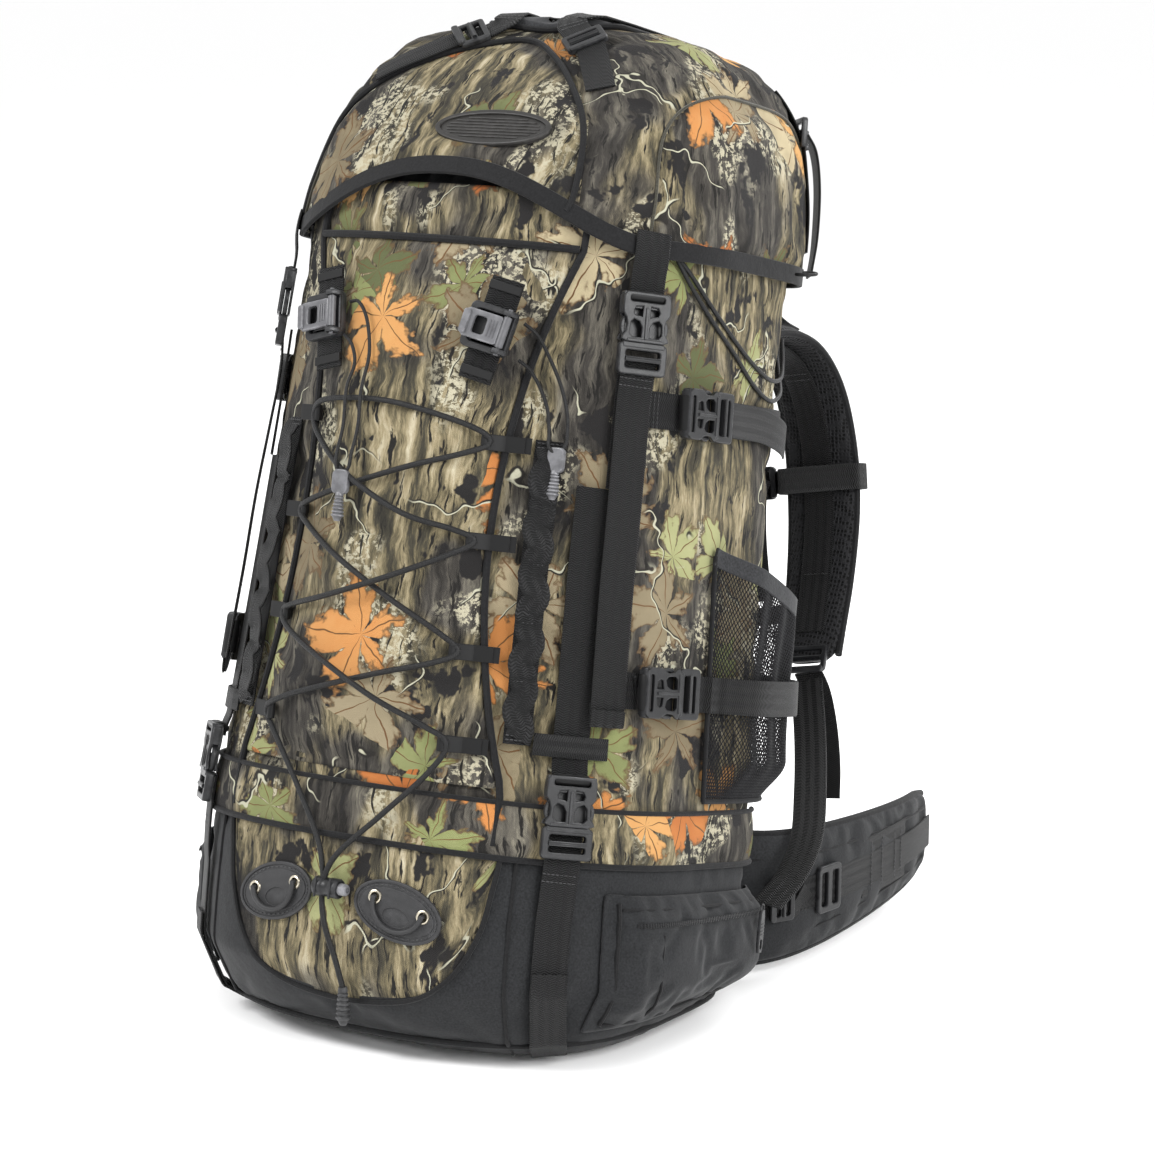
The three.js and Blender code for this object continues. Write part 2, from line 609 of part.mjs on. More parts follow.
function hipWing(side, hand) {
  const last = WING_ROUTE.length - 1;
  const stops = WING_ROUTE.map(([x, y], n) => {
    const [x0, y0] = WING_ROUTE[Math.max(n - 1, 0)];
    const [x1, y1] = WING_ROUTE[Math.min(n + 1, last)];
    const out = new THREE.Vector3(side * (y1 - y0), x0 - x1, 0).normalize();
    return { point: new THREE.Vector3(side * x, y, 62 - (8 * n) / last), out };
  });
  const wingHeight = (n) => 108 - (44 * n) / last;
  add(`hip_wing_${hand}`, strap(stops, wingHeight, WING_THICK), MESH);

  // The buckle half is folded back against the inner face of the wing's tip.
  const ahead = stops[last].point.clone().sub(stops[last - 1].point).setZ(0).normalize();
  const along = ahead.clone().multiplyScalar(side);
  const inward = new THREE.Vector3(-side * ahead.y, side * ahead.x, 0);
  const frame = new THREE.Matrix4().makeBasis(along.clone().cross(inward), along, inward);
  const back = side > 0 ? 14 : 3;
  frame.setPosition(stops[last].point.clone()
    .addScaledVector(inward, WING_THICK / 2 + 1.6).addScaledVector(ahead, -back));
  const buckle = side > 0 ? maleBuckle() : femaleBuckle();
  const web = box(WEBBING, 14, WEB_THICK, 0, side > 0 ? -28 : 38, 1.5);
  const foot = box(WEBBING, 8, 4, 0, side > 0 ? -21 : 32, 2);
  add(`hip_buckle_${hand}`, join(buckle, web, foot), PLASTIC, frame);
}

function haulLoop() {
  const half = [[-25, 0], [-25, 10], [-20, 20], [-8, 26]];
  const arch = [...half, ...half.map(([x, far]) => [-x, far]).reverse()];
  const foot = sizeAt(HAUL_HEIGHT)[2] + 21.5;
  const points = arch.map(([x, far]) => place(x, foot + far, HAUL_HEIGHT));
  const up = place(0, 0, HAUL_HEIGHT + 1).sub(place(0, 0, HAUL_HEIGHT));
  const last = points.length - 1;
  const stops = points.map((point, n) => {
    const ahead = points[Math.min(n + 1, last)].clone().sub(points[Math.max(n - 1, 0)]).normalize();
    return { point, out: up.clone().cross(ahead) };
  });
  add('haul_loop', strap(stops, 22, 2.4), WEB);
}

function zipPull() {
  const frame = wallFrame(turnBehind(68, 92, 1), 92, 20);
  const tab = box(8, 30, 2.4, 0, -15, 0);
  const slot = box(3.5, 8, 6, 0, -24, 0);
  add('cargo_zip_pull', cut(tab, slot), PLASTIC, frame);
}

bagShells();
snowCollar();
lid();
frontPocket();
stormFlap();
frameAndBack();
lacing();
haulLoop();
zipPull();
for (const [side, hand] of [[-1, 'left'], [1, 'right']]) {
  meshPocket(`mesh_pocket_${hand}`, side);
  cargoPocket(`cargo_pocket_${hand}`, side);
  cornerStraps(side, hand);
  sideStraps(side, hand);
  daisyChain(`daisy_chain_${hand}`, side);
  leverClip(side, hand);
  gearPatch(side, hand);
  harness(side, hand);
  hipWing(side, hand);
}

export default pack;
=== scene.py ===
"""The looks of a tall hunting backpack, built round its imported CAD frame.

Shapes are worked out in millimetres in the CAD frame: +Z up, the front panel faces -Y, +X is the
wearer's right. They become metres when a mesh is made.
"""
import json
import math

import bpy
import numpy as np
from mathutils import Matrix, Vector

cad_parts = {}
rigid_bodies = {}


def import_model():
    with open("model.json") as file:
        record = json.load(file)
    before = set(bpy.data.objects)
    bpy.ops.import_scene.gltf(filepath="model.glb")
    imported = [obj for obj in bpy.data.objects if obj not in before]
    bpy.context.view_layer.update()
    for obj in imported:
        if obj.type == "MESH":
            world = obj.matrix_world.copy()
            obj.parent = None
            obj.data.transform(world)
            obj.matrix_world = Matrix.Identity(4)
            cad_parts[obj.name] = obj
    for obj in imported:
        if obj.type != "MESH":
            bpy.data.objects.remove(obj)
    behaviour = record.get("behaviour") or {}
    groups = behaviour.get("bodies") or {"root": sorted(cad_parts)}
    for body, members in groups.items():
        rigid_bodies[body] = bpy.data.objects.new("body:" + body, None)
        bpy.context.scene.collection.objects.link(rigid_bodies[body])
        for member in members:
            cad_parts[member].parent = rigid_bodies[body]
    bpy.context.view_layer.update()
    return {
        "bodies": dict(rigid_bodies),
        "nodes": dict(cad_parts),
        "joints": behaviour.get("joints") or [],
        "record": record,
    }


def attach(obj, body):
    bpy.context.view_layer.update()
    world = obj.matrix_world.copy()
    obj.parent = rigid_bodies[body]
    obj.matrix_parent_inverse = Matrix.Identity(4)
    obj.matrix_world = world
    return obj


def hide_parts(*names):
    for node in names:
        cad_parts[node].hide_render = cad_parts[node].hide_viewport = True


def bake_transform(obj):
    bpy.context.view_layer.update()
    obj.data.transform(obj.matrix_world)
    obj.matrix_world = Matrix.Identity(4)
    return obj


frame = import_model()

# ---------- dimensions shared with the CAD, in millimetres ----------
MM = 0.001
LEAN = math.radians(11.5)
BEND_HEIGHT = 110
BEND_RADIUS = BEND_HEIGHT / LEAN
BASE_TOP = 130
BAG_TOP = 578
POCKET_LOW = 172
POCKET_HIGH = 537
POCKET_BULGE = 15
HEM_HEIGHT = 543
HEM_ARCH = 46
FRONT_POWER = 2.4
BACK_POWER = 5
STRAP_TURN = -38
DAISY_TURN = -55
WEBBING = 25
WEB_THICK = 1.8
CORD = 4
# height, half-width, depth in front of and behind the centre line
STATIONS = [
    (0, 150, 100, 104), (18, 171, 140, 119), (50, 182, 162, 126), (133, 182, 158, 128),
    (320, 170, 146, 127), (450, 164, 134, 131), (550, 160, 124, 138), (640, 152, 104, 140),
]
# the lacing: across, up the body, lift above the pocket
LACE_ROUTE = [
    (-3, 100, 7), (-14, 122, 3), (-38, 156, 2), (-58, 184, 3), (-69, 204, 4), (-54, 214, 3),
    (-18, 227, 1), (22, 241, 1), (55, 252, 3), (69, 261, 4), (56, 272, 3), (20, 292, 1),
    (-22, 316, 1), (-55, 335, 3), (-68, 344, 4), (-55, 352, 3), (-18, 366, 1), (22, 382, 1),
    (54, 394, 3), (69, 403, 4), (54, 413, 3), (0, 424, 1), (-50, 422, 3), (-69, 412, 4),
    (-58, 396, 3), (-20, 372, 6), (22, 350, 6), (55, 342, 3), (69, 336, 4), (56, 326, 3),
    (20, 306, 6), (-22, 288, 6), (-56, 279, 3), (-69, 273, 4), (-56, 262, 3), (-18, 245, 6),
    (22, 224, 6), (55, 209, 3), (70, 199, 4), (60, 178, 3), (32, 146, 3), (4, 114, 7),
    (-3, 96, 7), (0, 78, 6), (8, 60, 2), (13, 44, 2),
]
LACE_TABS = [(-72, 204), (-72, 273), (-71, 344), (-72, 412), (73, 199), (72, 261), (72, 336), (72, 403)]
PAD_ROUTE = [
    (64, 243, 440), (66, 265, 457), (70, 300, 461), (77, 336, 446), (84, 360, 412),
    (90, 370, 365), (98, 362, 315), (106, 342, 266), (113, 318, 228), (118, 302, 208),
]
LOWER_ROUTE = [
    (120, 296, 196), (142, 262, 160), (164, 222, 132), (184, 180, 108), (189, 148, 88), (184, 122, 72),
]
WING_ROUTE = [(108, 152), (136, 158), (156, 182), (166, 228), (168, 300), (162, 375), (148, 440)]
UPPER_ROUTE = [
    (-72, 2.2), (-40, 2.2), (-10, 2.6), (10, 3), (30, 3), (55, 2.8), (80, 2.8), (104, 3), (118, 3), (125, 3),
]
LOWER_STRAP_ROUTE = [
    (-88, 2.2), (-70, 4), (-40, 4), (-20, 4), (-5, 4.6), (3, 10), (12, 14), (25, 22.5),
    (38, 27.5), (60, 28), (80, 27.5), (96, 25), (108, 17), (117, 12), (123, 10),
]

# ---------- camera ----------
LOOK_AT = Vector((0.044, 0.088, 0.303))
AZIMUTH = math.radians(32)
ELEVATION = math.radians(11)
DISTANCE = 2.6


def make_camera():
    """A long lens, level with the lid, from the front and the wearer's right."""
    data = bpy.data.cameras.new("camera")
    data.lens = 112.56
    data.sensor_width = 36
    camera = bpy.data.objects.new("camera", data)
    level = math.cos(ELEVATION)
    away = Vector((math.sin(AZIMUTH) * level, -math.cos(AZIMUTH) * level, math.sin(ELEVATION)))
    camera.location = LOOK_AT + away * DISTANCE
    camera.rotation_euler = (-away).to_track_quat("-Z", "Y").to_euler()
    bpy.context.scene.collection.objects.link(camera)
    bpy.context.scene.camera = camera


make_camera()


# ---------- the leaning body ----------
def lerp(a, b, share):
    return a + (b - a) * share


def smooth(value):
    value = min(1.0, max(0.0, value))
    return value * value * (3 - 2 * value)


def rise(value, edge):
    return smooth(min(value, 1 - value) / edge)


def spine(height):
    """Lean, y and z of the centre line: an arc over the base, then straight and leaning back."""
    lean = min(height, BEND_HEIGHT) / BEND_HEIGHT * LEAN
    beyond = max(0, height - BEND_HEIGHT)
    y = BEND_RADIUS * (1 - math.cos(lean)) + beyond * math.sin(lean)
    return lean, y, BEND_RADIUS * math.sin(lean) + beyond * math.cos(lean)


def size_at(height):
    row = 1
    while row < len(STATIONS) - 1 and height > STATIONS[row][0]:
        row += 1
    low, high = STATIONS[row - 1], STATIONS[row]
    share = (height - low[0]) / (high[0] - low[0])
    return [lerp(low[n], high[n], share) for n in (1, 2, 3)]


def place(x, back, height):
    """A point given across, behind and along the leaning centre line."""
    lean, y, z = spine(height)
    return Vector((x, y + back * math.cos(lean), z - back * math.sin(lean)))


def unplace(point):
    """The x, back and height of a point: the inverse of place."""
    beyond = (point[1] - spine(BEND_HEIGHT)[1]) * math.sin(LEAN)
    beyond += (point[2] - spine(BEND_HEIGHT)[2]) * math.cos(LEAN)
    if beyond > 0:
        y, z = point[1] - spine(BEND_HEIGHT)[1], point[2] - spine(BEND_HEIGHT)[2]
        return point[0], y * math.cos(LEAN) - z * math.sin(LEAN), BEND_HEIGHT + beyond
    reach = math.hypot(BEND_RADIUS - point[1], point[2])
    return point[0], BEND_RADIUS - reach, BEND_RADIUS * math.atan2(point[2], BEND_RADIUS - point[1])


def wall(turn, height, offset=0.0):
    """A point on the wall; turn 0 is +X, -90 the middle of the front, 90 the middle of the back."""
    angle = math.radians(turn)
    width, front, behind = size_at(height)
    sine, cosine = math.sin(angle), math.cos(angle)
    power = 2 / (BACK_POWER if sine > 0 else FRONT_POWER)
    x = (width + offset) * math.copysign(abs(cosine) ** power, cosine)
    back = ((behind if sine > 0 else front) + offset) * math.copysign(abs(sine) ** power, sine)
    return place(x, back, height)


def turn_across(x, height):
    """The turn at which the front wall stands a given distance from the middle."""
    width = size_at(height)[0]
    side = math.degrees(math.acos(abs(x / width) ** (FRONT_POWER / 2)))
    return side - 180 if x < 0 else -side


def turn_behind(back, height, side):
    """The turn at which a side wall stands a given distance behind the centre line."""
    _, front, behind = size_at(height)
    share = (-back / front) ** (FRONT_POWER / 2) if back < 0 else (back / behind) ** (BACK_POWER / 2)
    turn = math.copysign(math.degrees(math.asin(min(1, share))), back)
    return turn if side > 0 else 180 - turn


def turn_on(turn, side):
    """The same place on the right (side 1) or mirrored to the left (side -1)."""
    return turn if side > 0 else -180 - turn


def wall_frame(turn, height, offset=0.0, spin=0.0):
    """Axes on the wall: x along the section, y up the wall, z outwards."""
    along = (wall(turn + 1, height, offset) - wall(turn - 1, height, offset)).normalized()
    up = (wall(turn, height + 1, offset) - wall(turn, height - 1, offset)).normalized()
    out = along.cross(up).normalized()
    matrix = Matrix((along, out.cross(along), out)).transposed().to_4x4()
    matrix.translation = wall(turn, height, offset)
    return matrix @ Matrix.Rotation(math.radians(spin), 4, "Z")


def hem_height(turn):
    from_front = abs(((turn + 90 + 540) % 360) - 180) / 58
    return HEM_HEIGHT + HEM_ARCH * (1 - smooth(from_front))


def pocket_half_width(v):
    return 74 + 30 * (2 * v - 1) ** 2


def pocket_depth(x, height):
    """How far the front pocket stands proud of the bag."""
    v = min(1, max(0, (height - POCKET_LOW) / (POCKET_HIGH - POCKET_LOW)))
    u = min(1, max(0, 0.5 + x / (2 * pocket_half_width(v))))
    return 3 + POCKET_BULGE * rise(u, 0.3) * rise(v, 0.16)


# ---------- curves and paths ----------
def spline(rows, count):
    """Evenly timed samples of a Catmull-Rom curve through rows of numbers."""
    rows = np.array([tuple(row) for row in rows], float)
    padded = np.vstack([2 * rows[0] - rows[1], rows, 2 * rows[-1] - rows[-2]])
    times = np.linspace(0, len(rows) - 1, count)
    left = np.minimum(times.astype(int), len(rows) - 2)
    t = (times - left)[:, None]
    a, b, c, d = (padded[left + n] for n in range(4))
    square, cube = 2 * a - 5 * b + 4 * c - d, 3 * b - a - 3 * c + d
    return 0.5 * (2 * b + (c - a) * t + square * t ** 2 + cube * t ** 3)


def path_length(points):
    return float(np.linalg.norm(np.diff(np.array(points, float), axis=0), axis=1).sum())


def even_rows(rows, step):
    """Rows of x, y, z and any more numbers, respaced about a step apart along x, y, z."""
    rows = np.array([tuple(row) for row in rows], float)
    far = np.concatenate([[0], np.cumsum(np.linalg.norm(np.diff(rows[:, :3], axis=0), axis=1))])
    spots = np.linspace(0, far[-1], max(3, int(far[-1] / step) + 1))
    return np.stack([np.interp(spots, far, rows[:, n]) for n in range(rows.shape[1])], axis=1)


def curve_through(points, step):
    return [Vector(p) for p in even_rows(spline(points, len(points) * 12), step)]


def faced_path(rows, step):
    """Evenly spaced points with their outward directions, from rows of both."""
    return [(Vector(row[:3]), Vector(row[3:]).normalized()) for row in even_rows(rows, step)]


def wall_path(stops, step=5.0):
    """Points and outward directions along stops of turn, height and offset on the wall."""
    fine = spline(stops, len(stops) * 8)
    return faced_path([(*wall(*row), *wall_frame(*row).col[2][:3]) for row in fine], step)


# ---------- solids: (vertices, faces) in millimetres ----------
def merge(*solids):
    vertices, faces = [], []
    for some, more in solids:
        faces += [tuple(n + len(vertices) for n in face) for face in more]
        vertices += [Vector(v) for v in some]
    return vertices, faces


def moved(solid, matrix):
    vertices, faces = solid
    if matrix.determinant() < 0:
        faces = [tuple(reversed(face)) for face in faces]
    return [matrix @ Vector(v) for v in vertices], faces


def shift(x=0, y=0, z=0):
    return Matrix.Translation((x, y, z))


def grid_faces(rows, columns, wrap=False):
    """Quads between neighbouring rows; wrap joins the last column to the first."""
    last = columns if wrap else columns - 1
    return [
        (r * columns + c, r * columns + (c + 1) % columns,
         (r + 1) * columns + (c + 1) % columns, (r + 1) * columns + c)
        for r in range(rows - 1) for c in range(last)
    ]


def rings(loops):
    """A closed tube through loops of points, capped at both ends."""
    count = len(loops[0])
    vertices = [p for loop in loops for p in loop]
    faces = [tuple(reversed(face)) for face in grid_faces(len(loops), count, True)]
    end = (len(loops) - 1) * count
    faces += [tuple(range(count)), tuple(reversed(range(end, end + count)))]
    return vertices, faces


def frames_along(points):
    """Tangent, side and up directions that don't twist along the points."""
    points = [Vector(p) for p in points]
    made, side = [], None
    for n, point in enumerate(points):
        ahead = (points[min(n + 1, len(points) - 1)] - points[max(n - 1, 0)]).normalized()
        if side is None:
            side = ahead.orthogonal().normalized()
        side = (side - ahead * side.dot(ahead)).normalized()
        made.append((point, ahead, side, ahead.cross(side)))
    return made


def tube(points, diameter, sides=8):
    """A round cord or piping; diameter is a number or a function of the share along it."""
    loops = []
    for n, (point, _, side, up) in enumerate(frames_along(points)):
        wide = diameter(n / (len(points) - 1)) if callable(diameter) else diameter
        turns = [2 * math.pi * k / sides for k in range(sides)]
        loops.append([point + (side * math.cos(a) + up * math.sin(a)) * wide / 2 for a in turns])
    return rings(loops)


def ring(radius, thick, centre=(0, 0, 0), steps=24, sides=8, squash=1.0):
    """A torus flat in x and y."""
    vertices = []
    for n in range(steps):
        a = 2 * math.pi * n / steps
        for k in range(sides):
            b = 2 * math.pi * k / sides
            wide = radius + thick / 2 * math.cos(b)
            vertices.append(Vector((wide * math.cos(a) + centre[0], wide * math.sin(a) * squash + centre[1],
                                    thick / 2 * math.sin(b) + centre[2])))
    faces = [(n * sides + k, n * sides + (k + 1) % sides,
              (n + 1) % steps * sides + (k + 1) % sides, (n + 1) % steps * sides + k)
             for n in range(steps) for k in range(sides)]
    return vertices, [tuple(reversed(face)) for face in faces]


def turned(profile, steps=20):
    """A solid of revolution about z from (radius, z) rows, open rows capped."""
    loops = [[Vector((r * math.cos(2 * math.pi * n / steps), r * math.sin(2 * math.pi * n / steps), z))
              for n in range(steps)] for r, z in profile]
    vertices, faces = rings(loops)
    return vertices, [tuple(reversed(face)) for face in faces] if profile[-1][1] > profile[0][1] else faces


def rounded(width, height, radius, x=0.0, y=0.0, steps=4):
    """The outline of a rectangle with round corners."""
    points = []
    for corner, (sx, sy) in enumerate([(1, 1), (-1, 1), (-1, -1), (1, -1)]):
        for n in range(steps + 1):
            a = math.pi / 2 * (corner + n / steps)
            points.append((x + sx * (width / 2 - radius) + radius * math.cos(a),
                           y + sy * (height / 2 - radius) + radius * math.sin(a)))
    return points


def oval(width, height, x=0.0, y=0.0, steps=32):
    turns = [2 * math.pi * n / steps for n in range(steps)]
    return [(x + width / 2 * math.cos(a), y + height / 2 * math.sin(a)) for a in turns]


def plate(outline, holes, low, high, edge=0.5):
    """A flat plate with holes and rounded edges, from z low to high."""
    data = bpy.data.curves.new("outline", "CURVE")
    data.dimensions = "2D"
    data.fill_mode = "BOTH"
    for loop in [outline, *holes]:
        line = data.splines.new("POLY")
        line.points.add(len(loop) - 1)
        for spot, (x, y) in zip(line.points, loop):
            spot.co = (x, y, 0, 1)
        line.use_cyclic_u = True
    data.extrude = (high - low) / 2 - edge
    data.bevel_depth = edge
    data.bevel_resolution = 1
    data.offset = -edge
    holder = bpy.data.objects.new("outline", data)
    mesh = bpy.data.meshes.new_from_object(holder)
    vertices = [v.co + Vector((0, 0, (low + high) / 2)) for v in mesh.vertices]
    faces = [tuple(p.vertices) for p in mesh.polygons]
    bpy.data.objects.remove(holder)
    bpy.data.curves.remove(data)
    bpy.data.meshes.remove(mesh)
    return vertices, faces


def band(path, width, thick, cup=0.0):
    """A flat strap along (point, out) stops; gives the solid and its u, v in millimetres."""
    section = [(-0.5, -0.25), (-0.5, 0.25), (-0.46, 0.5), (-0.2, 0.5), (0.2, 0.5), (0.46, 0.5),
               (0.5, 0.25), (0.5, -0.25), (0.46, -0.5), (0.2, -0.5), (-0.2, -0.5), (-0.46, -0.5)]
    loops, marks, far = [], [], 0.0
    last = len(path) - 1
    for n, (point, out) in enumerate(path):
        ahead = (path[min(n + 1, last)][0] - path[max(n - 1, 0)][0]).normalized()
        across = ahead.cross(out).normalized()
        face = across.cross(ahead)
        wide = width(n / last) if callable(width) else width
        if n:
            far += (point - path[n - 1][0]).length
        loops.append([point + across * (u * wide) + face * (w * thick - cup * (2 * u) ** 2)
                      for u, w in section])
        marks += [(u * wide, far) for u, w in section]
    vertices, faces = rings(loops)
    return vertices, faces, marks


# ---------- materials ----------
class Look:
    """A node material under construction; texture places are metres on the cloth or in space."""

    def __init__(self, name, slot, roughness=0.8, specular=0.4, metallic=0.0, sheen=0.0):
        self.slot = slot
        self.material = bpy.data.materials.new(name)
        self.material.use_nodes = True
        self.tree = self.material.node_tree
        self.shader = self.tree.nodes["Principled BSDF"]
        self.shader.inputs["Roughness"].default_value = roughness
        self.shader.inputs["Specular IOR Level"].default_value = specular
        self.shader.inputs["Metallic"].default_value = metallic
        self.shader.inputs["Sheen Weight"].default_value = sheen
        self.shader.inputs["Sheen Roughness"].default_value = 0.5

    def node(self, kind, settings=None, **inputs):
        made = self.tree.nodes.new("ShaderNode" + kind)
        for key, value in (settings or {}).items():
            setattr(made, key, value)
        for key, value in inputs.items():
            self.feed(made.inputs[key], value)
        return made

    def feed(self, socket, value):
        if isinstance(value, bpy.types.NodeSocket):
            self.tree.links.new(value, socket)
        else:
            socket.default_value = value

    def cloth(self):
        return self.node("UVMap", {"uv_map": "cloth"}).outputs["UV"]

    def space(self):
        return self.node("TexCoord").outputs["Object"]

    def math(self, operation, a, b=0.0, clamp=False):
        made = self.node("Math", {"operation": operation, "use_clamp": clamp})
        self.feed(made.inputs[0], a)
        self.feed(made.inputs[1], b)
        return made.outputs[0]

    def times(self, vector, scale):
        made = self.node("VectorMath", {"operation": "MULTIPLY"})
        self.feed(made.inputs[0], vector)
        self.feed(made.inputs[1], scale)
        return made.outputs[0]

    def plus(self, vector, more):
        made = self.node("VectorMath", {"operation": "ADD"})
        self.feed(made.inputs[0], vector)
        self.feed(made.inputs[1], more)
        return made.outputs[0]

    def parts(self, vector):
        made = self.node("SeparateXYZ")
        self.feed(made.inputs[0], vector)
        return made.outputs[0], made.outputs[1], made.outputs[2]

    def noise(self, vector, scale, detail=3.0, rough=0.55):
        made = self.node("TexNoise", Vector=vector, Scale=scale, Detail=detail, Roughness=rough)
        return made.outputs["Fac"]

    def step(self, value, low, high):
        """0 below low, 1 above high and smooth between; the other way round if low is higher."""
        made = self.node("MapRange", {"interpolation_type": "SMOOTHSTEP"})
        ends = (low, high, 0.0, 1.0) if low < high else (high, low, 1.0, 0.0)
        for socket, number in zip(list(made.inputs)[:5], [value, *ends]):
            self.feed(socket, number)
        return made.outputs[0]

    def ramp(self, value, stops):
        made = self.node("ValToRGB")
        elements = made.color_ramp.elements
        while len(elements) < len(stops):
            elements.new(0.5)
        for element, (spot, color) in zip(elements, stops):
            element.position = spot
            element.color = (*color, 1)
        self.feed(made.inputs[0], value)
        return made.outputs[0]

    def mix(self, share, a, b):
        made = self.node("Mix", {"data_type": "RGBA"})
        for slot, value in ((0, share), (6, a), (7, b)):
            if isinstance(value, tuple):
                value = (*value, 1)
            self.feed(made.inputs[slot], value)
        return made.outputs[2]

    def color(self, value):
        self.feed(self.shader.inputs["Base Color"], value)

    def bump(self, height, distance, strength=1.0):
        """Adds relief; distance is metres for a height of 1."""
        made = self.node("Bump", Strength=strength, Distance=distance, Height=height)
        normal = self.shader.inputs["Normal"]
        if normal.is_linked:
            self.feed(made.inputs["Normal"], normal.links[0].from_socket)
        self.feed(normal, made.outputs[0])


def leaves(look, place_on, scale, size, chance, seed):
    """A scatter of lobed leaves: how much leaf there is at a point, and its random numbers."""
    moved_by = look.plus(place_on, (seed * 0.37, seed * 0.73, 0))
    cells = look.node("TexVoronoi", {"voronoi_dimensions": "2D"}, Vector=moved_by, Scale=scale)
    random = look.node("SeparateColor", Color=cells.outputs["Color"])
    local = look.node("VectorMath", {"operation": "SUBTRACT"})
    look.feed(local.inputs[0], moved_by)
    look.feed(local.inputs[1], cells.outputs["Position"])
    ragged = look.noise(moved_by, 170, 2)
    x, y, _ = look.parts(local.outputs[0])
    angle = look.math("ADD", look.math("ARCTAN2", y, x), look.math("MULTIPLY", random.outputs[0], 6.283))
    lobes = look.math("ABSOLUTE", look.math("COSINE", look.math("MULTIPLY", angle, 2.5)))
    points = look.math("ABSOLUTE", look.math("COSINE", look.math("MULTIPLY", angle, 7.5)))
    long = look.math("COSINE", angle)
    edge = look.math("ADD", look.math("MULTIPLY", lobes, 0.42), look.math("MULTIPLY", points, 0.13))
    edge = look.math("ADD", edge, look.math("MULTIPLY", long, 0.16))
    edge = look.math("ADD", edge, look.math("MULTIPLY", ragged, 0.5))
    reach = look.node("VectorMath", {"operation": "LENGTH"})
    look.feed(reach.inputs[0], local.outputs[0])
    inside = look.math("SUBTRACT", edge, look.math("DIVIDE", reach.outputs["Value"], size))
    shown = look.math("LESS_THAN", random.outputs[1], chance)
    amount = look.math("MULTIPLY", look.step(inside, 0.0, 0.06), shown)
    spokes = look.math("ABSOLUTE", look.math("SINE", look.math("MULTIPLY", angle, 2.5)))
    veins = look.math("MULTIPLY", spokes, look.math("DIVIDE", reach.outputs["Value"], size))
    return amount, inside, veins, random.outputs[2]


def twigs(look, place_on, lean, spacing, wide, seed):
    """Thin broken lines across the cloth at an angle, and the shade beside them."""
    x, y, _ = look.parts(place_on)
    wander = look.noise(look.plus(place_on, (seed, 0, 0)), 14, 3)
    across = look.math("ADD", look.math("MULTIPLY", x, math.cos(lean)),
                       look.math("MULTIPLY", y, math.sin(lean)))
    across = look.math("ADD", across, look.math("MULTIPLY", wander, spacing * 0.9))
    away = look.math("SUBTRACT", look.math("FRACT", look.math("DIVIDE", across, spacing)), 0.5)
    broken = look.step(look.noise(look.plus(place_on, (0, seed, 0)), 11, 1), 0.5, 0.54)
    thin = wide / spacing
    line = look.math("MULTIPLY", look.step(look.math("ABSOLUTE", away), thin, thin * 0.5), broken)
    beside = look.math("ABSOLUTE", look.math("SUBTRACT", away, thin * 1.3))
    shade = look.math("MULTIPLY", look.step(beside, thin * 1.8, thin * 0.4), broken)
    return line, shade


def weave(look, place_on, pitch, depth):
    """Plain weave: threads over and under at the given pitch in metres."""
    turn = 2 * math.pi / pitch
    x, y, _ = look.parts(place_on)
    over = look.math("SINE", look.math("MULTIPLY", x, turn))
    under = look.math("SINE", look.math("MULTIPLY", y, turn))
    look.bump(look.math("MULTIPLY", over, under), depth)


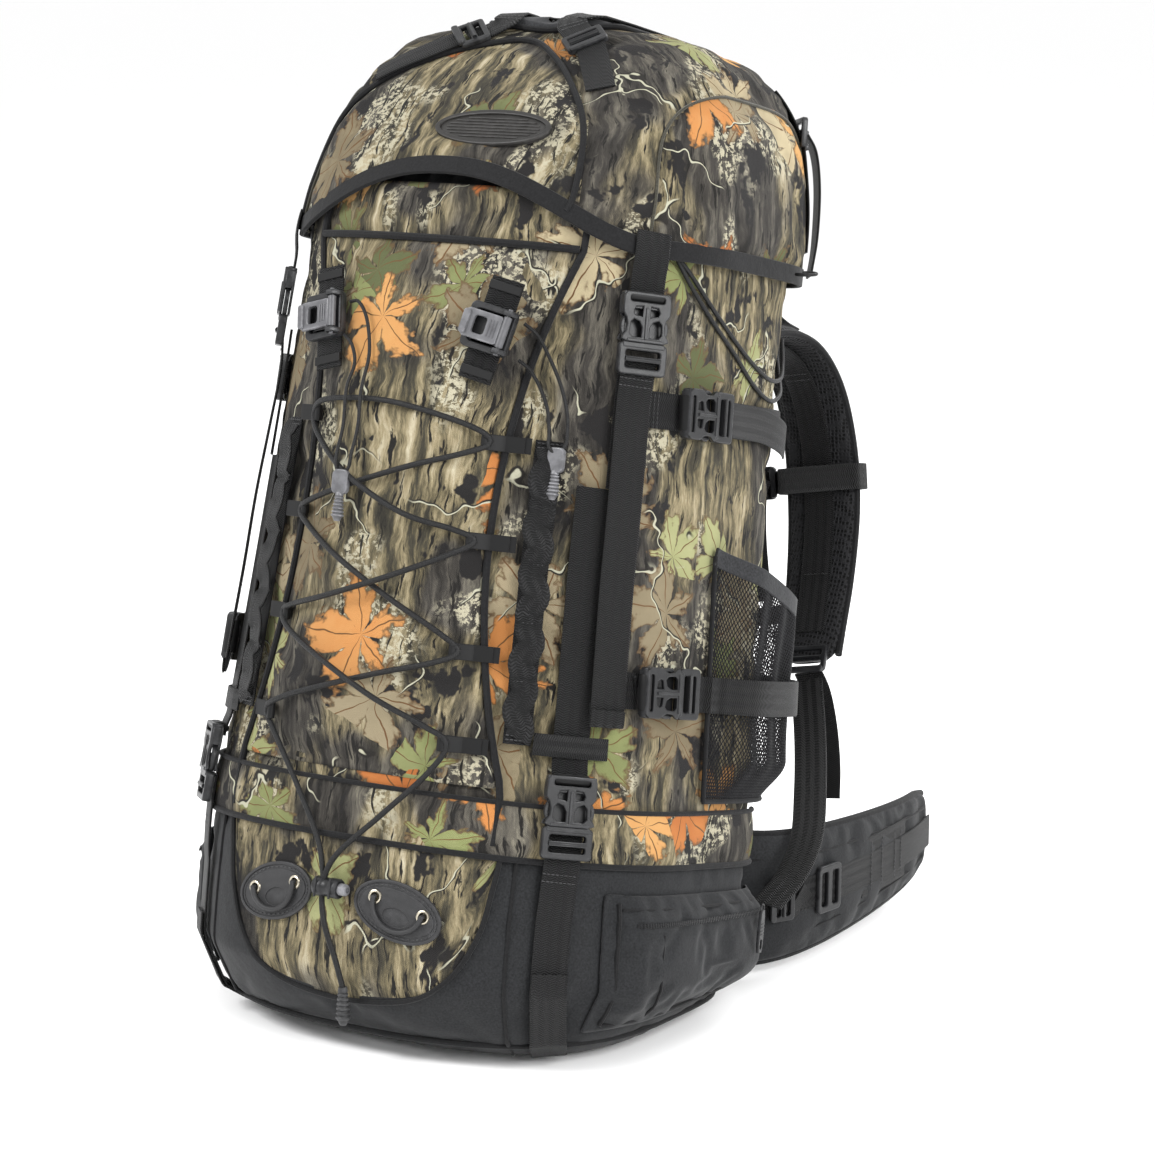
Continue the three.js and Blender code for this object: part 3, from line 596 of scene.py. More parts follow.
def camo_look():
    """Printed woodland cloth: bark and lichen grounds, leaves and twigs, all generic."""
    look = Look("camo_cloth", "camo_fabric", roughness=0.85, specular=0.12, sheen=0.02)
    flat = look.cloth()
    wander = look.node("TexNoise", Vector=flat, Scale=22, Detail=3)
    drift = look.node("VectorMath", {"operation": "SCALE"}, Scale=0.02)
    look.feed(drift.inputs[0], wander.outputs["Color"])
    on = look.plus(flat, drift.outputs[0])
    region = look.noise(look.times(flat, (9, 6, 0)), 1, 2)
    bark = look.noise(look.times(on, (95, 15, 0)), 1, 6, 0.7)
    ground = look.ramp(bark, [
        (0.30, (0.018, 0.017, 0.015)), (0.43, (0.050, 0.045, 0.032)), (0.50, (0.125, 0.105, 0.062)),
        (0.58, (0.27, 0.225, 0.135)), (0.72, (0.50, 0.45, 0.33)),
    ])
    shade = look.ramp(bark, [
        (0.35, (0.014, 0.013, 0.012)), (0.50, (0.045, 0.041, 0.036)), (0.62, (0.115, 0.105, 0.085)),
        (0.75, (0.26, 0.24, 0.18)),
    ])
    color = look.mix(look.step(region, 0.47, 0.53), ground, shade)
    lichen = look.noise(on, 230, 3, 0.7)
    patch = look.step(look.noise(look.plus(look.times(flat, (13, 9, 0)), (3, 7, 0)), 1, 2), 0.54, 0.60)
    pale = look.math("MULTIPLY", look.step(lichen, 0.47, 0.56), patch)
    color = look.mix(pale, color, (0.40, 0.37, 0.27))
    furrow = look.noise(look.times(on, (240, 34, 0)), 1, 4, 0.6)
    color = look.mix(look.step(furrow, 0.56, 0.62), color, (0.014, 0.013, 0.012))
    blots = look.step(look.noise(look.plus(look.times(on, (30, 20, 0)), (9, 2, 0)), 1, 4, 0.6), 0.58, 0.61)
    color = look.mix(blots, color, (0.017, 0.016, 0.016))
    for scale, size, chance, seed, tones in (
        (15, 0.040, 0.30, 1,
         [(0.2, (0.09, 0.10, 0.045)), (0.6, (0.20, 0.22, 0.09)), (0.9, (0.33, 0.33, 0.17))]),
        (12, 0.050, 0.30, 2,
         [(0.1, (0.30, 0.25, 0.16)), (0.6, (0.16, 0.13, 0.08)), (0.9, (0.45, 0.38, 0.24))]),
        (9, 0.052, 0.34, 3,
         [(0.1, (0.34, 0.10, 0.028)), (0.45, (0.46, 0.19, 0.058)), (0.9, (0.52, 0.31, 0.12))]),
    ):
        amount, inside, veins, tone = leaves(look, on, scale, size, chance, seed)
        leaf = look.ramp(look.math("ADD", look.math("MULTIPLY", tone, 0.75),
                                   look.math("MULTIPLY", look.noise(on, 60, 4), 0.3)), tones)
        leaf = look.mix(look.step(veins, 0.035, 0.015), leaf, (0.12, 0.06, 0.025))
        leaf = look.mix(look.step(inside, 0.16, 0.02), leaf, (0.10, 0.06, 0.03))
        color = look.mix(amount, color, leaf)
    branches = ((0.5, 0.16, 0.0011, 4), (-0.75, 0.13, 0.0009, 5), (1.25, 0.19, 0.0013, 6))
    for lean, spacing, wide, seed in branches:
        line, beside = twigs(look, flat, lean, spacing, wide, seed)
        color = look.mix(beside, color, (0.02, 0.018, 0.016))
        color = look.mix(line, color, (0.42, 0.41, 0.31))
    look.color(color)
    look.bump(look.noise(flat, 90, 3), 0.0012, 0.5)
    weave(look, flat, 0.0011, 0.00025)
    return look


def black_cloth_look(name, slot, tone, pitch=0.0009, sheen=0.2):
    """Packcloth: dark threads with a faint mottle."""
    look = Look(name, slot, roughness=0.75, specular=0.14, sheen=sheen)
    flat = look.space()
    mottle = look.noise(flat, 700, 3)
    darker = tuple(part * 0.6 for part in tone)
    lighter = tuple(part * 1.5 for part in tone)
    look.color(look.ramp(mottle, [(0.3, darker), (0.7, lighter)]))
    look.bump(look.noise(flat, 60, 3), 0.0015, 0.5)
    look.bump(look.noise(flat, 1 / pitch, 2), 0.0003, 0.7)
    return look


def webbing_look():
    """Woven strap: ribs across it in a shallow chevron, u across and v along in metres."""
    look = Look("webbing", "webbing", roughness=0.5, specular=0.18, sheen=0.02)
    u, v, _ = look.parts(look.cloth())
    chevron = look.math("PINGPONG", u, 0.0035)
    along = look.math("ADD", v, look.math("MULTIPLY", chevron, 0.45))
    ribs = look.math("SINE", look.math("MULTIPLY", along, 2 * math.pi / 0.0016))
    fray = look.noise(look.times(look.cloth(), (900, 90, 0)), 1, 2)
    # The rib crests are painted lighter than the grooves: a painted highlight on the ribs.
    look.color(look.mix(look.step(ribs, -0.6, 0.9), (0.0025, 0.0025, 0.0025), (0.010, 0.010, 0.0105)))
    look.bump(fray, 0.0003, 0.4)
    look.bump(ribs, 0.00035, 0.9)
    return look


def air_mesh_look():
    """Spacer mesh: a close field of small holes in black knit, the holes painted near black as painted shade."""
    look = Look("air_mesh", "air_mesh", roughness=0.7, specular=0.14, sheen=0.03)
    cells = look.node("TexVoronoi", Vector=look.space(), Scale=330, Randomness=0.25)
    # The sunken holes are painted near black: painted shade in the recesses.
    hole_shade = look.step(cells.outputs["Distance"], 0.5, 0.25)
    look.color(look.mix(hole_shade, (0.012, 0.012, 0.013), (0.0015, 0.0015, 0.0015)))
    look.bump(look.step(cells.outputs["Distance"], 0.2, 0.6), 0.0009, 0.9)
    look.bump(look.noise(look.space(), 45, 2), 0.002, 0.4)
    return look


def moulded_look(name, slot, tone, roughness=0.42, grain=0.00012):
    """Moulded plastic or rubber with a fine grain and its sharp edges painted paler as a painted highlight."""
    look = Look(name, slot, roughness=roughness, specular=0.32)
    # Sharp edges, found by pointiness and broken up by noise, are painted paler: a painted highlight along the
    # edges.
    lit_edge_mask = look.step(look.node("NewGeometry").outputs["Pointiness"], 0.515, 0.58)
    edge_highlight = look.math("MULTIPLY", lit_edge_mask, look.step(look.noise(look.space(), 160, 3), 0.3, 0.7))
    cloudy = look.noise(look.space(), 220, 3)
    plain = look.mix(cloudy, tuple(part * 0.8 for part in tone), tuple(part * 1.2 for part in tone))
    look.color(look.mix(edge_highlight, plain, tuple(min(1, part * 2.2 + 0.012) for part in tone)))
    uneven = look.math("ADD", look.math("MULTIPLY", cloudy, 0.2), roughness - 0.1)
    look.feed(look.shader.inputs["Roughness"], uneven)
    look.bump(look.noise(look.space(), 1500, 2), grain, 0.8)
    return look


def metal_look(name, slot, tone, roughness):
    """Brushed or worn metal."""
    look = Look(name, slot, roughness=roughness, specular=0.5, metallic=1.0)
    scratches = look.noise(look.times(look.space(), (200, 2600, 2600)), 1, 3)
    look.color(look.mix(scratches, tuple(part * 0.75 for part in tone), tone))
    look.bump(scratches, 0.00008, 0.6)
    return look


def cord_look():
    """Braided cover: two families of strands crossing, from places along the cord."""
    look = Look("cord_braid", "cord", roughness=0.5, specular=0.2, sheen=0.02)
    cells = look.node("TexVoronoi", Vector=look.space(), Scale=900, Randomness=0.4)
    # Darker towards the cell edges, where the bump sinks: painted shade between the strands.
    look.color(look.mix(cells.outputs["Distance"], (0.014, 0.014, 0.0145), (0.003, 0.003, 0.003)))
    look.bump(cells.outputs["Distance"], -0.0004, 0.9)
    return look


CAMO = camo_look()
BASE_CLOTH = black_cloth_look("base_cloth", "base_fabric", (0.011, 0.0115, 0.0125), sheen=0.08)
BINDING = black_cloth_look("binding", "base_fabric", (0.006, 0.006, 0.0065), pitch=0.0014, sheen=0.06)
NYLON = black_cloth_look("collar_nylon", "base_fabric", (0.006, 0.006, 0.0065), sheen=0.05)
HEATHER = black_cloth_look("heather", "base_fabric", (0.018, 0.0185, 0.020), pitch=0.002, sheen=0.08)
NET = black_cloth_look("net", "net", (0.008, 0.008, 0.009), sheen=0.06)
WEB = webbing_look()
AIR_MESH = air_mesh_look()
BRAID = cord_look()
PLASTIC = moulded_look("buckle_plastic", "buckle_plastic", (0.008, 0.0082, 0.009), roughness=0.34)
LEVER = moulded_look("lever_plastic", "clip_lever", (0.075, 0.075, 0.08), roughness=0.32)
FRAME_PLASTIC = moulded_look("frame_plastic", "frame_plastic", (0.02, 0.02, 0.02))
RUBBER = moulded_look("rubber", "rubber", (0.018, 0.018, 0.019), roughness=0.5, grain=0.0003)
BADGE = moulded_look("badge_rubber", "badge_rubber", (0.014, 0.013, 0.012), roughness=0.42, grain=0.0002)
ALUMINIUM = metal_look("aluminium", "aluminium", (0.75, 0.76, 0.78), 0.35)
BRASS = metal_look("grommet_metal", "aluminium", (0.55, 0.50, 0.40), 0.28)
THREAD = black_cloth_look("thread", "webbing", (0.035, 0.035, 0.036))
# A dark brownish cloth for thin lines of painted shadow along the lid's side seams.
SEAM_SHADOW_LOOK = black_cloth_look("seam_shadow", "camo_fabric", (0.03, 0.028, 0.02))


# ---------- pieces ----------
def build(name, solid, look, body="pack", marks=None, replaces=(), sharp=35):
    """Makes a piece from a solid in millimetres; marks are u, v for each vertex or each face corner."""
    vertices, faces = solid[0], solid[1]
    mesh = bpy.data.meshes.new(name)
    mesh.from_pydata([tuple(c * MM for c in v) for v in vertices], [], faces)
    mesh.validate()
    if marks:
        layer = mesh.uv_layers.new(name="cloth")
        each_corner = len(marks) == len(mesh.loops)
        for loop in mesh.loops:
            mark = marks[loop.index if each_corner else loop.vertex_index]
            layer.data[loop.index].uv = [c * MM for c in mark]
    mesh.materials.append(look.material)
    mesh.polygons.foreach_set("use_smooth", [True] * len(mesh.polygons))
    mesh.set_sharp_from_angle(angle=math.radians(sharp))
    piece = bpy.data.objects.new(name, mesh)
    bpy.context.scene.collection.objects.link(piece)
    if body:
        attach(piece, body)
    if replaces:
        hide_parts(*replaces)
    return piece


def strap_piece(name, path, width=WEBBING, thick=WEB_THICK, body="pack", replaces=(), look=WEB, cup=0.0):
    vertices, faces, marks = band(path, width, thick, cup)
    return build(name, (vertices, faces), look, body, marks, replaces)


def cord_piece(name, points, diameter, look=BRAID, body="pack", replaces=()):
    """A cord as one open spline."""
    data = bpy.data.curves.new(name, "CURVE")
    data.dimensions = "3D"
    data.bevel_depth = diameter / 2 * MM
    data.bevel_resolution = 3
    data.use_fill_caps = True
    line = data.splines.new("POLY")
    line.points.add(len(points) - 1)
    for spot, point in zip(line.points, points):
        spot.co = (*(c * MM for c in point), 1)
    data.materials.append(look.material)
    piece = bpy.data.objects.new(name, data)
    bpy.context.scene.collection.objects.link(piece)
    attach(piece, body)
    if replaces:
        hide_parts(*replaces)
    return piece


def metres(point):
    return tuple(c * MM for c in point)


# ---------- cords ----------
def on_front(x, height, lift):
    """A point over the front, lifted off the pocket."""
    deep = pocket_depth(x, height) if height > POCKET_LOW else 3
    return wall(turn_across(x, height), height, deep + lift)


def on_side(back, height, lift, side=1):
    return wall(turn_behind(back, height, side), height, lift)


def ribbed_pull(top, long, wide):
    """A moulded pull under a cord's end: a neck, then ribs that widen downwards."""
    profile = [(wide * 0.28, 0), (wide * 0.34, -long * 0.12)]
    for n in range(6):
        share = 0.15 + 0.12 * n
        radius = wide * lerp(0.36, 0.5, n / 5)
        profile += [(radius * 0.82, -long * share), (radius, -long * (share + 0.03)),
                    (radius, -long * (share + 0.07)), (radius * 0.82, -long * (share + 0.1))]
    profile += [(wide * 0.34, -long * 0.9), (wide * 0.22, -long)]
    return moved(turned(profile, 16), Matrix.Translation(top))


def declare_cord(points):
    metres(points[0])


def lacing():
    route = [on_front(x, height, CORD / 2 + lift + 1.8) for x, height, lift in LACE_ROUTE]
    points = curve_through(route, 3)
    pull = build("lace_pull", ribbed_pull(points[-1] + Vector((0, 0, 1)), 27, 10.5), RUBBER,
                 replaces=["cord_pull"])
    cord = cord_piece("front_lacing", points, CORD, replaces=["bungee_lacing"])
    declare_cord(points)


def clip_pulls():
    """The thin looped cords that hang from the lever clips, each through a pull."""
    loops = {
        "left": [(-42, 490, 6), (-34, 490, 7), (-26, 478, 5), (-21, 455, 4), (-19, 430, 9), (-18, 405, 8),
                 (-17.5, 385, 11), (-18, 376, 11), (-22.5, 371, 11), (-27, 376, 11), (-28, 385, 11),
                 (-29, 405, 8), (-30, 430, 9), (-31, 448, 4), (-35, 461, 5), (-42, 467, 6)],
        "right": [(78, 485, 6), (87, 478, 6), (96, 464, 7), (105, 446, 6), (111, 428, 4), (113, 412, 4),
                  (112.5, 405, 4), (108, 400.5, 4), (103.5, 405, 4), (103, 412, 4), (100, 428, 5),
                  (94, 442, 6), (86, 454, 6), (78, 460, 6)],
    }
    for hand, route in loops.items():
        points = curve_through([on_front(*stop) for stop in route], 2)
        low = min(points, key=lambda point: point.z)
        tag = plate(rounded(13, 17, 4, 0, -5), [], -2.2, 2.2, 1.0)
        bead = ribbed_pull(Vector((0, 0, 0)), 20, 9)
        bead = moved(bead, shift(0, -12, 0) @ Matrix.Rotation(math.pi / 2, 4, "X").inverted())
        frame_at = Matrix.Translation(low) @ Matrix.Rotation(math.pi / 2 + LEAN * -1, 4, "X")
        pull = build(f"clip_pull_{hand}", moved(merge(tag, bead), frame_at), LEVER)
        cord = cord_piece(f"clip_cord_{hand}", points, 2.5)
        declare_cord(points)


def shock_cords():
    """Two elastic cords down each side from under the lid."""
    route = [(-62, 549), (-45, 533), (-20, 512), (10, 494), (40, 479),
             (68, 470), (92, 472), (108, 484), (116, 502)]
    for side, hand in ((1, "right"), (-1, "left")):
        for n, drop in enumerate((0, -11)):
            stops = [(back + n * 4, height + drop * (0.4 if k == 0 else 1) - 4 * n * (k in (4, 5)), 3)
                     for k, (back, height) in enumerate(route)]
            points = curve_through([on_side(*stop, side) for stop in stops], 3)
            cord = cord_piece(f"shock_cord_{hand}_{n + 1}", points, 3.2)
            declare_cord(points)


lacing()
clip_pulls()
shock_cords()


# ---------- cloth ----------
SEWN = []  # (piece, held, pressure, growth, outward, inward) for the cloth pass
FINISH = []  # (piece, thickness, smoothing levels) once the cloth has settled


def soften(piece, held, pressure=2.0, growth=0.03, outward=4.0, inward=3.0):
    """Has the cloth pass shape a piece; held(n, point) is 1 where it is sewn down."""
    SEWN.append((piece, held, pressure, growth, outward, inward))


def settle_cloth():
    """Blows up every soft piece a little between its seams, all in one short simulation."""
    rests = {}
    for piece, held, pressure, growth, _, _ in SEWN:
        group = piece.vertex_groups.new(name="sewn")
        for vertex in piece.data.vertices:
            group.add([vertex.index], float(held(vertex.index, vertex.co / MM)), "REPLACE")
        rests[piece.name] = [(v.co.copy(), v.normal.copy()) for v in piece.data.vertices]
        settings = piece.modifiers.new("cloth", "CLOTH").settings
        settings.quality = 5
        settings.mass = 0.2
        settings.tension_stiffness = 20
        settings.compression_stiffness = 20
        settings.shear_stiffness = 8
        settings.bending_stiffness = 0.15
        settings.air_damping = 3
        settings.vertex_group_mass = "sewn"
        settings.use_pressure = True
        settings.uniform_pressure_force = pressure
        settings.shrink_min = -growth
        settings.effector_weights.gravity = 0
    for number in range(1, 21):
        bpy.context.scene.frame_set(number)
    depsgraph = bpy.context.evaluated_depsgraph_get()
    settled = {}
    for piece, *_ in SEWN:
        mesh = piece.evaluated_get(depsgraph).to_mesh()
        settled[piece.name] = [v.co.copy() for v in mesh.vertices]
    for piece, _, _, _, outward, inward in SEWN:
        piece.modifiers.remove(piece.modifiers["cloth"])
        piece.vertex_groups.clear()
        for vertex, (rest, normal), spot in zip(piece.data.vertices, rests[piece.name], settled[piece.name]):
            gone = spot - rest
            out = min(outward * MM, max(-inward * MM, gone.dot(normal)))
            slide = gone - normal * gone.dot(normal)
            if slide.length > 2 * MM:
                slide.length = 2 * MM
            vertex.co = rest + normal * out + slide
    bpy.context.scene.frame_set(1)


def finish_cloth():
    for piece, thick, levels in FINISH:
        if levels:
            rounder = piece.modifiers.new("rounder", "SUBSURF")
            rounder.levels = levels
            rounder.render_levels = levels
        if thick:
            wall_of = piece.modifiers.new("cloth_thickness", "SOLIDIFY")
            wall_of.thickness = thick * MM
            wall_of.offset = -1


# Arc length round the section, from the middle of the front towards +X, against turn.
TURNS = np.linspace(-270, 90, 721)
SECTION = np.array([tuple(wall(turn, 350)) for turn in TURNS])
ARCS = np.concatenate([[0], np.cumsum(np.linalg.norm(np.diff(SECTION, axis=0), axis=1))])
ARCS -= np.interp(-90, TURNS, ARCS)


def arc_of(turn):
    return float(np.interp(turn, TURNS, ARCS))


def turn_of(arc):
    return float(np.interp(arc, ARCS, TURNS))


def skin(rows, columns, point_at, mark_at):
    """A sheet of cloth from point_at(u, v), with its u, v marks in millimetres."""
    vertices, marks = [], []
    for r in range(rows):
        for c in range(columns):
            u, v = c / (columns - 1), r / (rows - 1)
            vertices.append(point_at(u, v))
            marks.append(mark_at(u, v))
    return (vertices, grid_faces(rows, columns)), marks


def near_line(value, line, width):
    return abs(value - line) < width


def main_skin():
    """The body of the bag, sewn at its corners and pressed in by its straps."""
    columns, rows = 170, 76
    arcs = [lerp(ARCS[0], ARCS[-1], c / (columns - 1)) for c in range(columns)]

    def spot(u, v):
        return lerp(ARCS[0], ARCS[-1], u), lerp(131, BAG_TOP, v)

    def point_at(u, v):
        arc, height = spot(u, v)
        return wall(turn_of(arc), height, -0.8)

    solid, marks = skin(rows, columns, point_at, spot)
    piece = build("bag_skin", solid, CAMO, marks=marks, replaces=["main_bag"])
    straps = [arc_of(turn_on(STRAP_TURN - 1, side)) for side in (1, -1)]

    def held(n, point):
        arc, height = arcs[n % columns], marks[n][1]
        edge = n % columns in (0, columns - 1) or height < 134 or height > BAG_TOP - 3
        back = abs(arc) > arc_of(42)
        corner = any(near_line(arc, strap, 13) for strap in straps)
        seam = any(near_line(arc, arc_of(turn_on(-14, side)), 3.5) for side in (1, -1))
        belt = near_line(height, 437, 12) or near_line(height, 246, 12)
        return 1.0 if edge or back or corner or seam else (0.6 if belt and abs(arc) > 150 else 0.0)

    soften(piece, held, pressure=1.2, growth=0.035, outward=2.0, inward=5.0)
    FINISH.append((piece, 1.6, 1))


def pocket_skin():
    """The gusseted front pocket, narrow at its waist."""
    columns, rows = 44, 64

    def spot(u, v):
        height = lerp(POCKET_LOW, POCKET_HIGH, v)
        x = (2 * u - 1) * pocket_half_width(v)
        return wall(turn_across(x, height), height, pocket_depth(x, height) - 1.2)

    solid, marks = skin(rows, columns, spot, lambda u, v: (
        600 + (2 * u - 1) * pocket_half_width(v), 230 + lerp(POCKET_LOW, POCKET_HIGH, v)))
    piece = build("pocket_skin", solid, CAMO, marks=marks, replaces=["front_pocket"])

    def held(n, point):
        c, r = n % columns, n // columns
        return 1.0 if c in (0, columns - 1) or r in (0, rows - 1) else 0.0

    soften(piece, held, pressure=1.5, growth=0.04, outward=1.8, inward=5.0)
    FINISH.append((piece, 1.6, 1))
    for side, hand in ((-1, "left"), (1, "right")):
        line = []
        for n in range(40):
            height = lerp(134, 560, n / 39)
            v = min(1, max(0, (height - POCKET_LOW) / (POCKET_HIGH - POCKET_LOW)))
            x = side * (pocket_half_width(v) + 2.5)
            line.append(wall(turn_across(x, height), height, 2.0))
        build(f"pocket_piping_{hand}", tube(line, 5.2), BINDING)
    top = [wall(turn_across(x, POCKET_HIGH), POCKET_HIGH + 2, 3.0) for x in np.linspace(-104, 104, 30)]
    build("pocket_top_piping", tube(top, 5.2), BINDING)


def collar():
    """The gathered snow collar: drawn-up nylon in close upright folds."""
    columns, rows = 360, 9

    def spot(u, v):
        turn = turn_of(lerp(ARCS[0], ARCS[-1], u))
        fold = math.sin(u * 2 * math.pi * 46) + 0.6 * math.sin(u * 2 * math.pi * 29 + 1)
        height = lerp(BAG_TOP - 4, 605, v)
        return wall(turn, height, lerp(-1.5, -17, v) - 2.2 + fold * lerp(0.9, 3.0, v))

    solid, marks = skin(rows, columns, spot, lambda u, v: (u * 1000, v * 30))
    piece = build("collar_cloth", solid, NYLON, marks=marks, replaces=["snow_collar"])
    FINISH.append((piece, 0.8, 0))


# ---------- lid ----------
def lid_rows(turn):
    """Offset, height and reach down the lid's profile, hem first and roof last."""
    hem = hem_height(turn)
    slope = max(0, -math.sin(math.radians(turn))) ** 1.2
    front = [(8, hem, 1), (6, hem + 12, 1), (0, 614, 0.95), (0, 641, 0.8), (0, 668, 0.56),
             (0, 688, 0.34), (0, 699, 0.15), (0, 704, 0.02)]
    behind = [(8, hem, 1), (9, 592, 1), (5, 636, 1), (0, 668, 0.95), (0, 688, 0.82),
              (0, 700, 0.6), (0, 706, 0.3), (0, 708, 0.04)]
    return [[lerp(b, f, slope) for b, f in zip(*pair)] for pair in zip(behind, front)]


def lid_point(turn, along, lift=0.0):
    """A point on the lid; along runs from 0 at the hem to 7 at the crown."""
    rows = lid_rows(turn)
    padded_rows = [rows[0], *rows, rows[-1]]
    n = min(int(along), 6)
    t = along - n
    a, b, c, d = (np.array(row) for row in (padded_rows + [rows[-1]])[n:n + 4])
    offset, height, reach = 0.5 * (2 * b + (c - a) * t + (2 * a - 5 * b + 4 * c - d) * t ** 2
                                   + (3 * b - a - 3 * c + d) * t ** 3)
    middle = place(0, 0, height)
    point = middle.lerp(wall(turn, height, offset), min(1.0, float(reach)))
    if not lift:
        return point
    return point + lid_out(turn, along) * lift


def lid_out(turn, along):
    around = lid_point(turn + 2, along) - lid_point(turn - 2, along)
    up = lid_point(turn, min(7, along + 0.1)) - lid_point(turn, max(0, along - 0.1))
    return around.cross(up).normalized()


def lid_path(stops, step=4.0):
    """Points and outward directions along stops of turn, along and lift on the lid."""
    fine = spline(stops, len(stops) * 10)
    return faced_path([(*lid_point(*row), *lid_out(row[0], row[1])) for row in fine], step)


FRONT_PANEL = [(-149, 0), (-149, 1), (-147, 2), (-140, 3.2), (-126, 4.4), (-104, 5.1), (-84, 5.0), (-68, 4.2),
               (-60, 3.1), (-57, 2), (-57.5, 1), (-59, 0)]
SIDE_PANEL = [(-34, 0.2), (-33, 1.0), (-31, 1.9), (-20, 2.5), (0, 2.7),
              (18, 2.6), (32, 2.2), (35, 1.2), (36, 0.2)]


def inside(point, outline):
    """Whether a flat point is within an outline."""
    x, y = point
    hits = False
    for (x0, y0), (x1, y1) in zip(outline, outline[1:] + outline[:1]):
        if (y0 > y) != (y1 > y) and x < (x1 - x0) * (y - y0) / (y1 - y0) + x0:
            hits = not hits
    return hits


def lid_skin():
    """The floating lid, in a front panel, two side panels and a back, each its own cut of cloth."""
    columns, rows = 190, 54
    arcs = [lerp(ARCS[0], ARCS[-1], c / (columns - 1)) for c in range(columns)]
    turns = [turn_of(arc) for arc in arcs]
    solid, _ = skin(rows, columns, lambda u, v: lid_point(turn_of(lerp(ARCS[0], ARCS[-1], u)), 7 * v, -0.8),
                    lambda u, v: (0, 0))
    vertices, faces = solid
    marks = []
    for face in faces:
        r, c = divmod(face[0], columns)
        spot = (turns[c], 7 * r / (rows - 1))
        front = inside(spot, FRONT_PANEL)
        sides = inside(spot, SIDE_PANEL) or inside((-180 - spot[0], spot[1]), SIDE_PANEL)
        for corner in face:
            x, back, height = unplace(vertices[corner])
            arc = arcs[corner % columns]
            if front:
                marks.append((900 + x * 1.05, height * 0.75 + back * 0.65))
            elif sides:
                marks.append((1500 + arc * 0.9, height * 1.05 + x * 0.2))
            else:
                marks.append((arc * 0.8 + 320, height + 300 - (abs(x) + abs(back)) * 0.5))
    piece = build("lid_skin", solid, CAMO, "lid", marks=marks, replaces=["lid"])

    def held(n, point):
        r, c = divmod(n, columns)
        if r < 2 or r > rows - 14 or c in (0, columns - 1):
            return 1.0
        spot = Vector((turns[c], 7 * r / (rows - 1) * 8))
        gap = min((spot - Vector((turn, along * 8))).length for turn, along in LID_SEAM_SPOTS)
        return 1.0 if gap < 2.2 else 0.0

    soften(piece, held, pressure=2.4, growth=0.045, outward=4.0, inward=4.0)
    FINISH.append((piece, 1.6, 1))


def dense(outline, count=60):
    return [tuple(row) for row in spline(outline, count)]


LID_SEAM_SPOTS = dense(FRONT_PANEL, 120) + dense(SIDE_PANEL, 90) + [
    (-180 - turn, along) for turn, along in dense(SIDE_PANEL, 90)]


def lid_trims():
    """The lid's wide hem binding, piped seams, thin dark tubes of painted shadow along the side seams, padded
    crown panel and lining.
    """
    hem = []
    for turn in (turn_of(arc) for arc in np.linspace(ARCS[0], ARCS[-1], 200)):
        hem.append((lid_point(turn, 0.12, 0.4), lid_out(turn, 0.2)))
    build("lid_binding", band(hem, 13, 3.4)[:2], BINDING, "lid")
    front = [lid_point(turn, max(0, along), 1.0) for turn, along in dense(FRONT_PANEL, 90)]
    build("lid_front_piping", tube(front, 4.6), BINDING, "lid")
    for side, hand in ((1, "right"), (-1, "left")):
        # Each side seam gets a thin dark tube: a painted shadow line in the seam.
        seam = [lid_point(turn_on(turn, side), along, 0.2) for turn, along in dense(SIDE_PANEL, 70)]
        build(f"lid_seam_shadow_{hand}", tube(seam, 2.2, 6), SEAM_SHADOW_LOOK, "lid")
    columns, rows = 96, 14

    def crown_edge(turn):
        return 5.75 - 0.35 * math.cos(math.radians(turn - 90))

    solid, marks = skin(rows, columns, lambda u, v: lid_point(
        -270 + 360 * u, lerp(crown_edge(-270 + 360 * u), 7, v), 1.4 + 3.4 * smooth(v / 0.35)),
        lambda u, v: (u * 400, v * 60))
    crown = build("lid_crown_panel", solid, HEATHER, "lid", marks=marks)
    FINISH.append((crown, 1.2, 1))
    edge = [lid_point(-270 + 360 * n / 80, crown_edge(-270 + 360 * n / 80), 1.6) for n in range(81)]
    build("lid_crown_piping", tube(edge, 4.4), BINDING, "lid")
    (vertices, faces), marks = skin(26, 120, lambda u, v: lid_point(
        turn_of(lerp(ARCS[0], ARCS[-1], u)), lerp(0.2, 7, v), lerp(-2.8, -6.5, smooth(v * 4))),
        lambda u, v: (u * 900, v * 300))
    facing_in = [tuple(reversed(face)) for face in faces]
    lining = build("lid_lining", (vertices, facing_in), NYLON, "lid", marks=marks)
    FINISH.append((lining, 0.8, 1))


def badge():
    """A plain oval rubber badge: a raised rim round a ribbed field."""
    tilt = math.radians(51) - LEAN
    onto = Matrix.Translation(place(26, -105, 617)) @ Matrix.Rotation(tilt, 4, "X")
    base = plate(oval(94, 34), [], 0, 2.6, 0.7)
    rim = plate(oval(94, 34), [oval(86, 26)], 0.5, 4.2, 0.7)
    ribs = []
    for n in range(-3, 4):
        half = 40 * math.sqrt(1 - (n * 3 / 12) ** 2) - 2
        ribs.append(plate(rounded(2 * half, 1.2, 0.5, 0, n * 3), [], 2.0, 3.3, 0.3))
    build("lid_badge", moved(merge(base, rim, *ribs), onto), BADGE, "lid", replaces=["badge"])


main_skin()
pocket_skin()
collar()
lid_skin()
lid_trims()
badge()


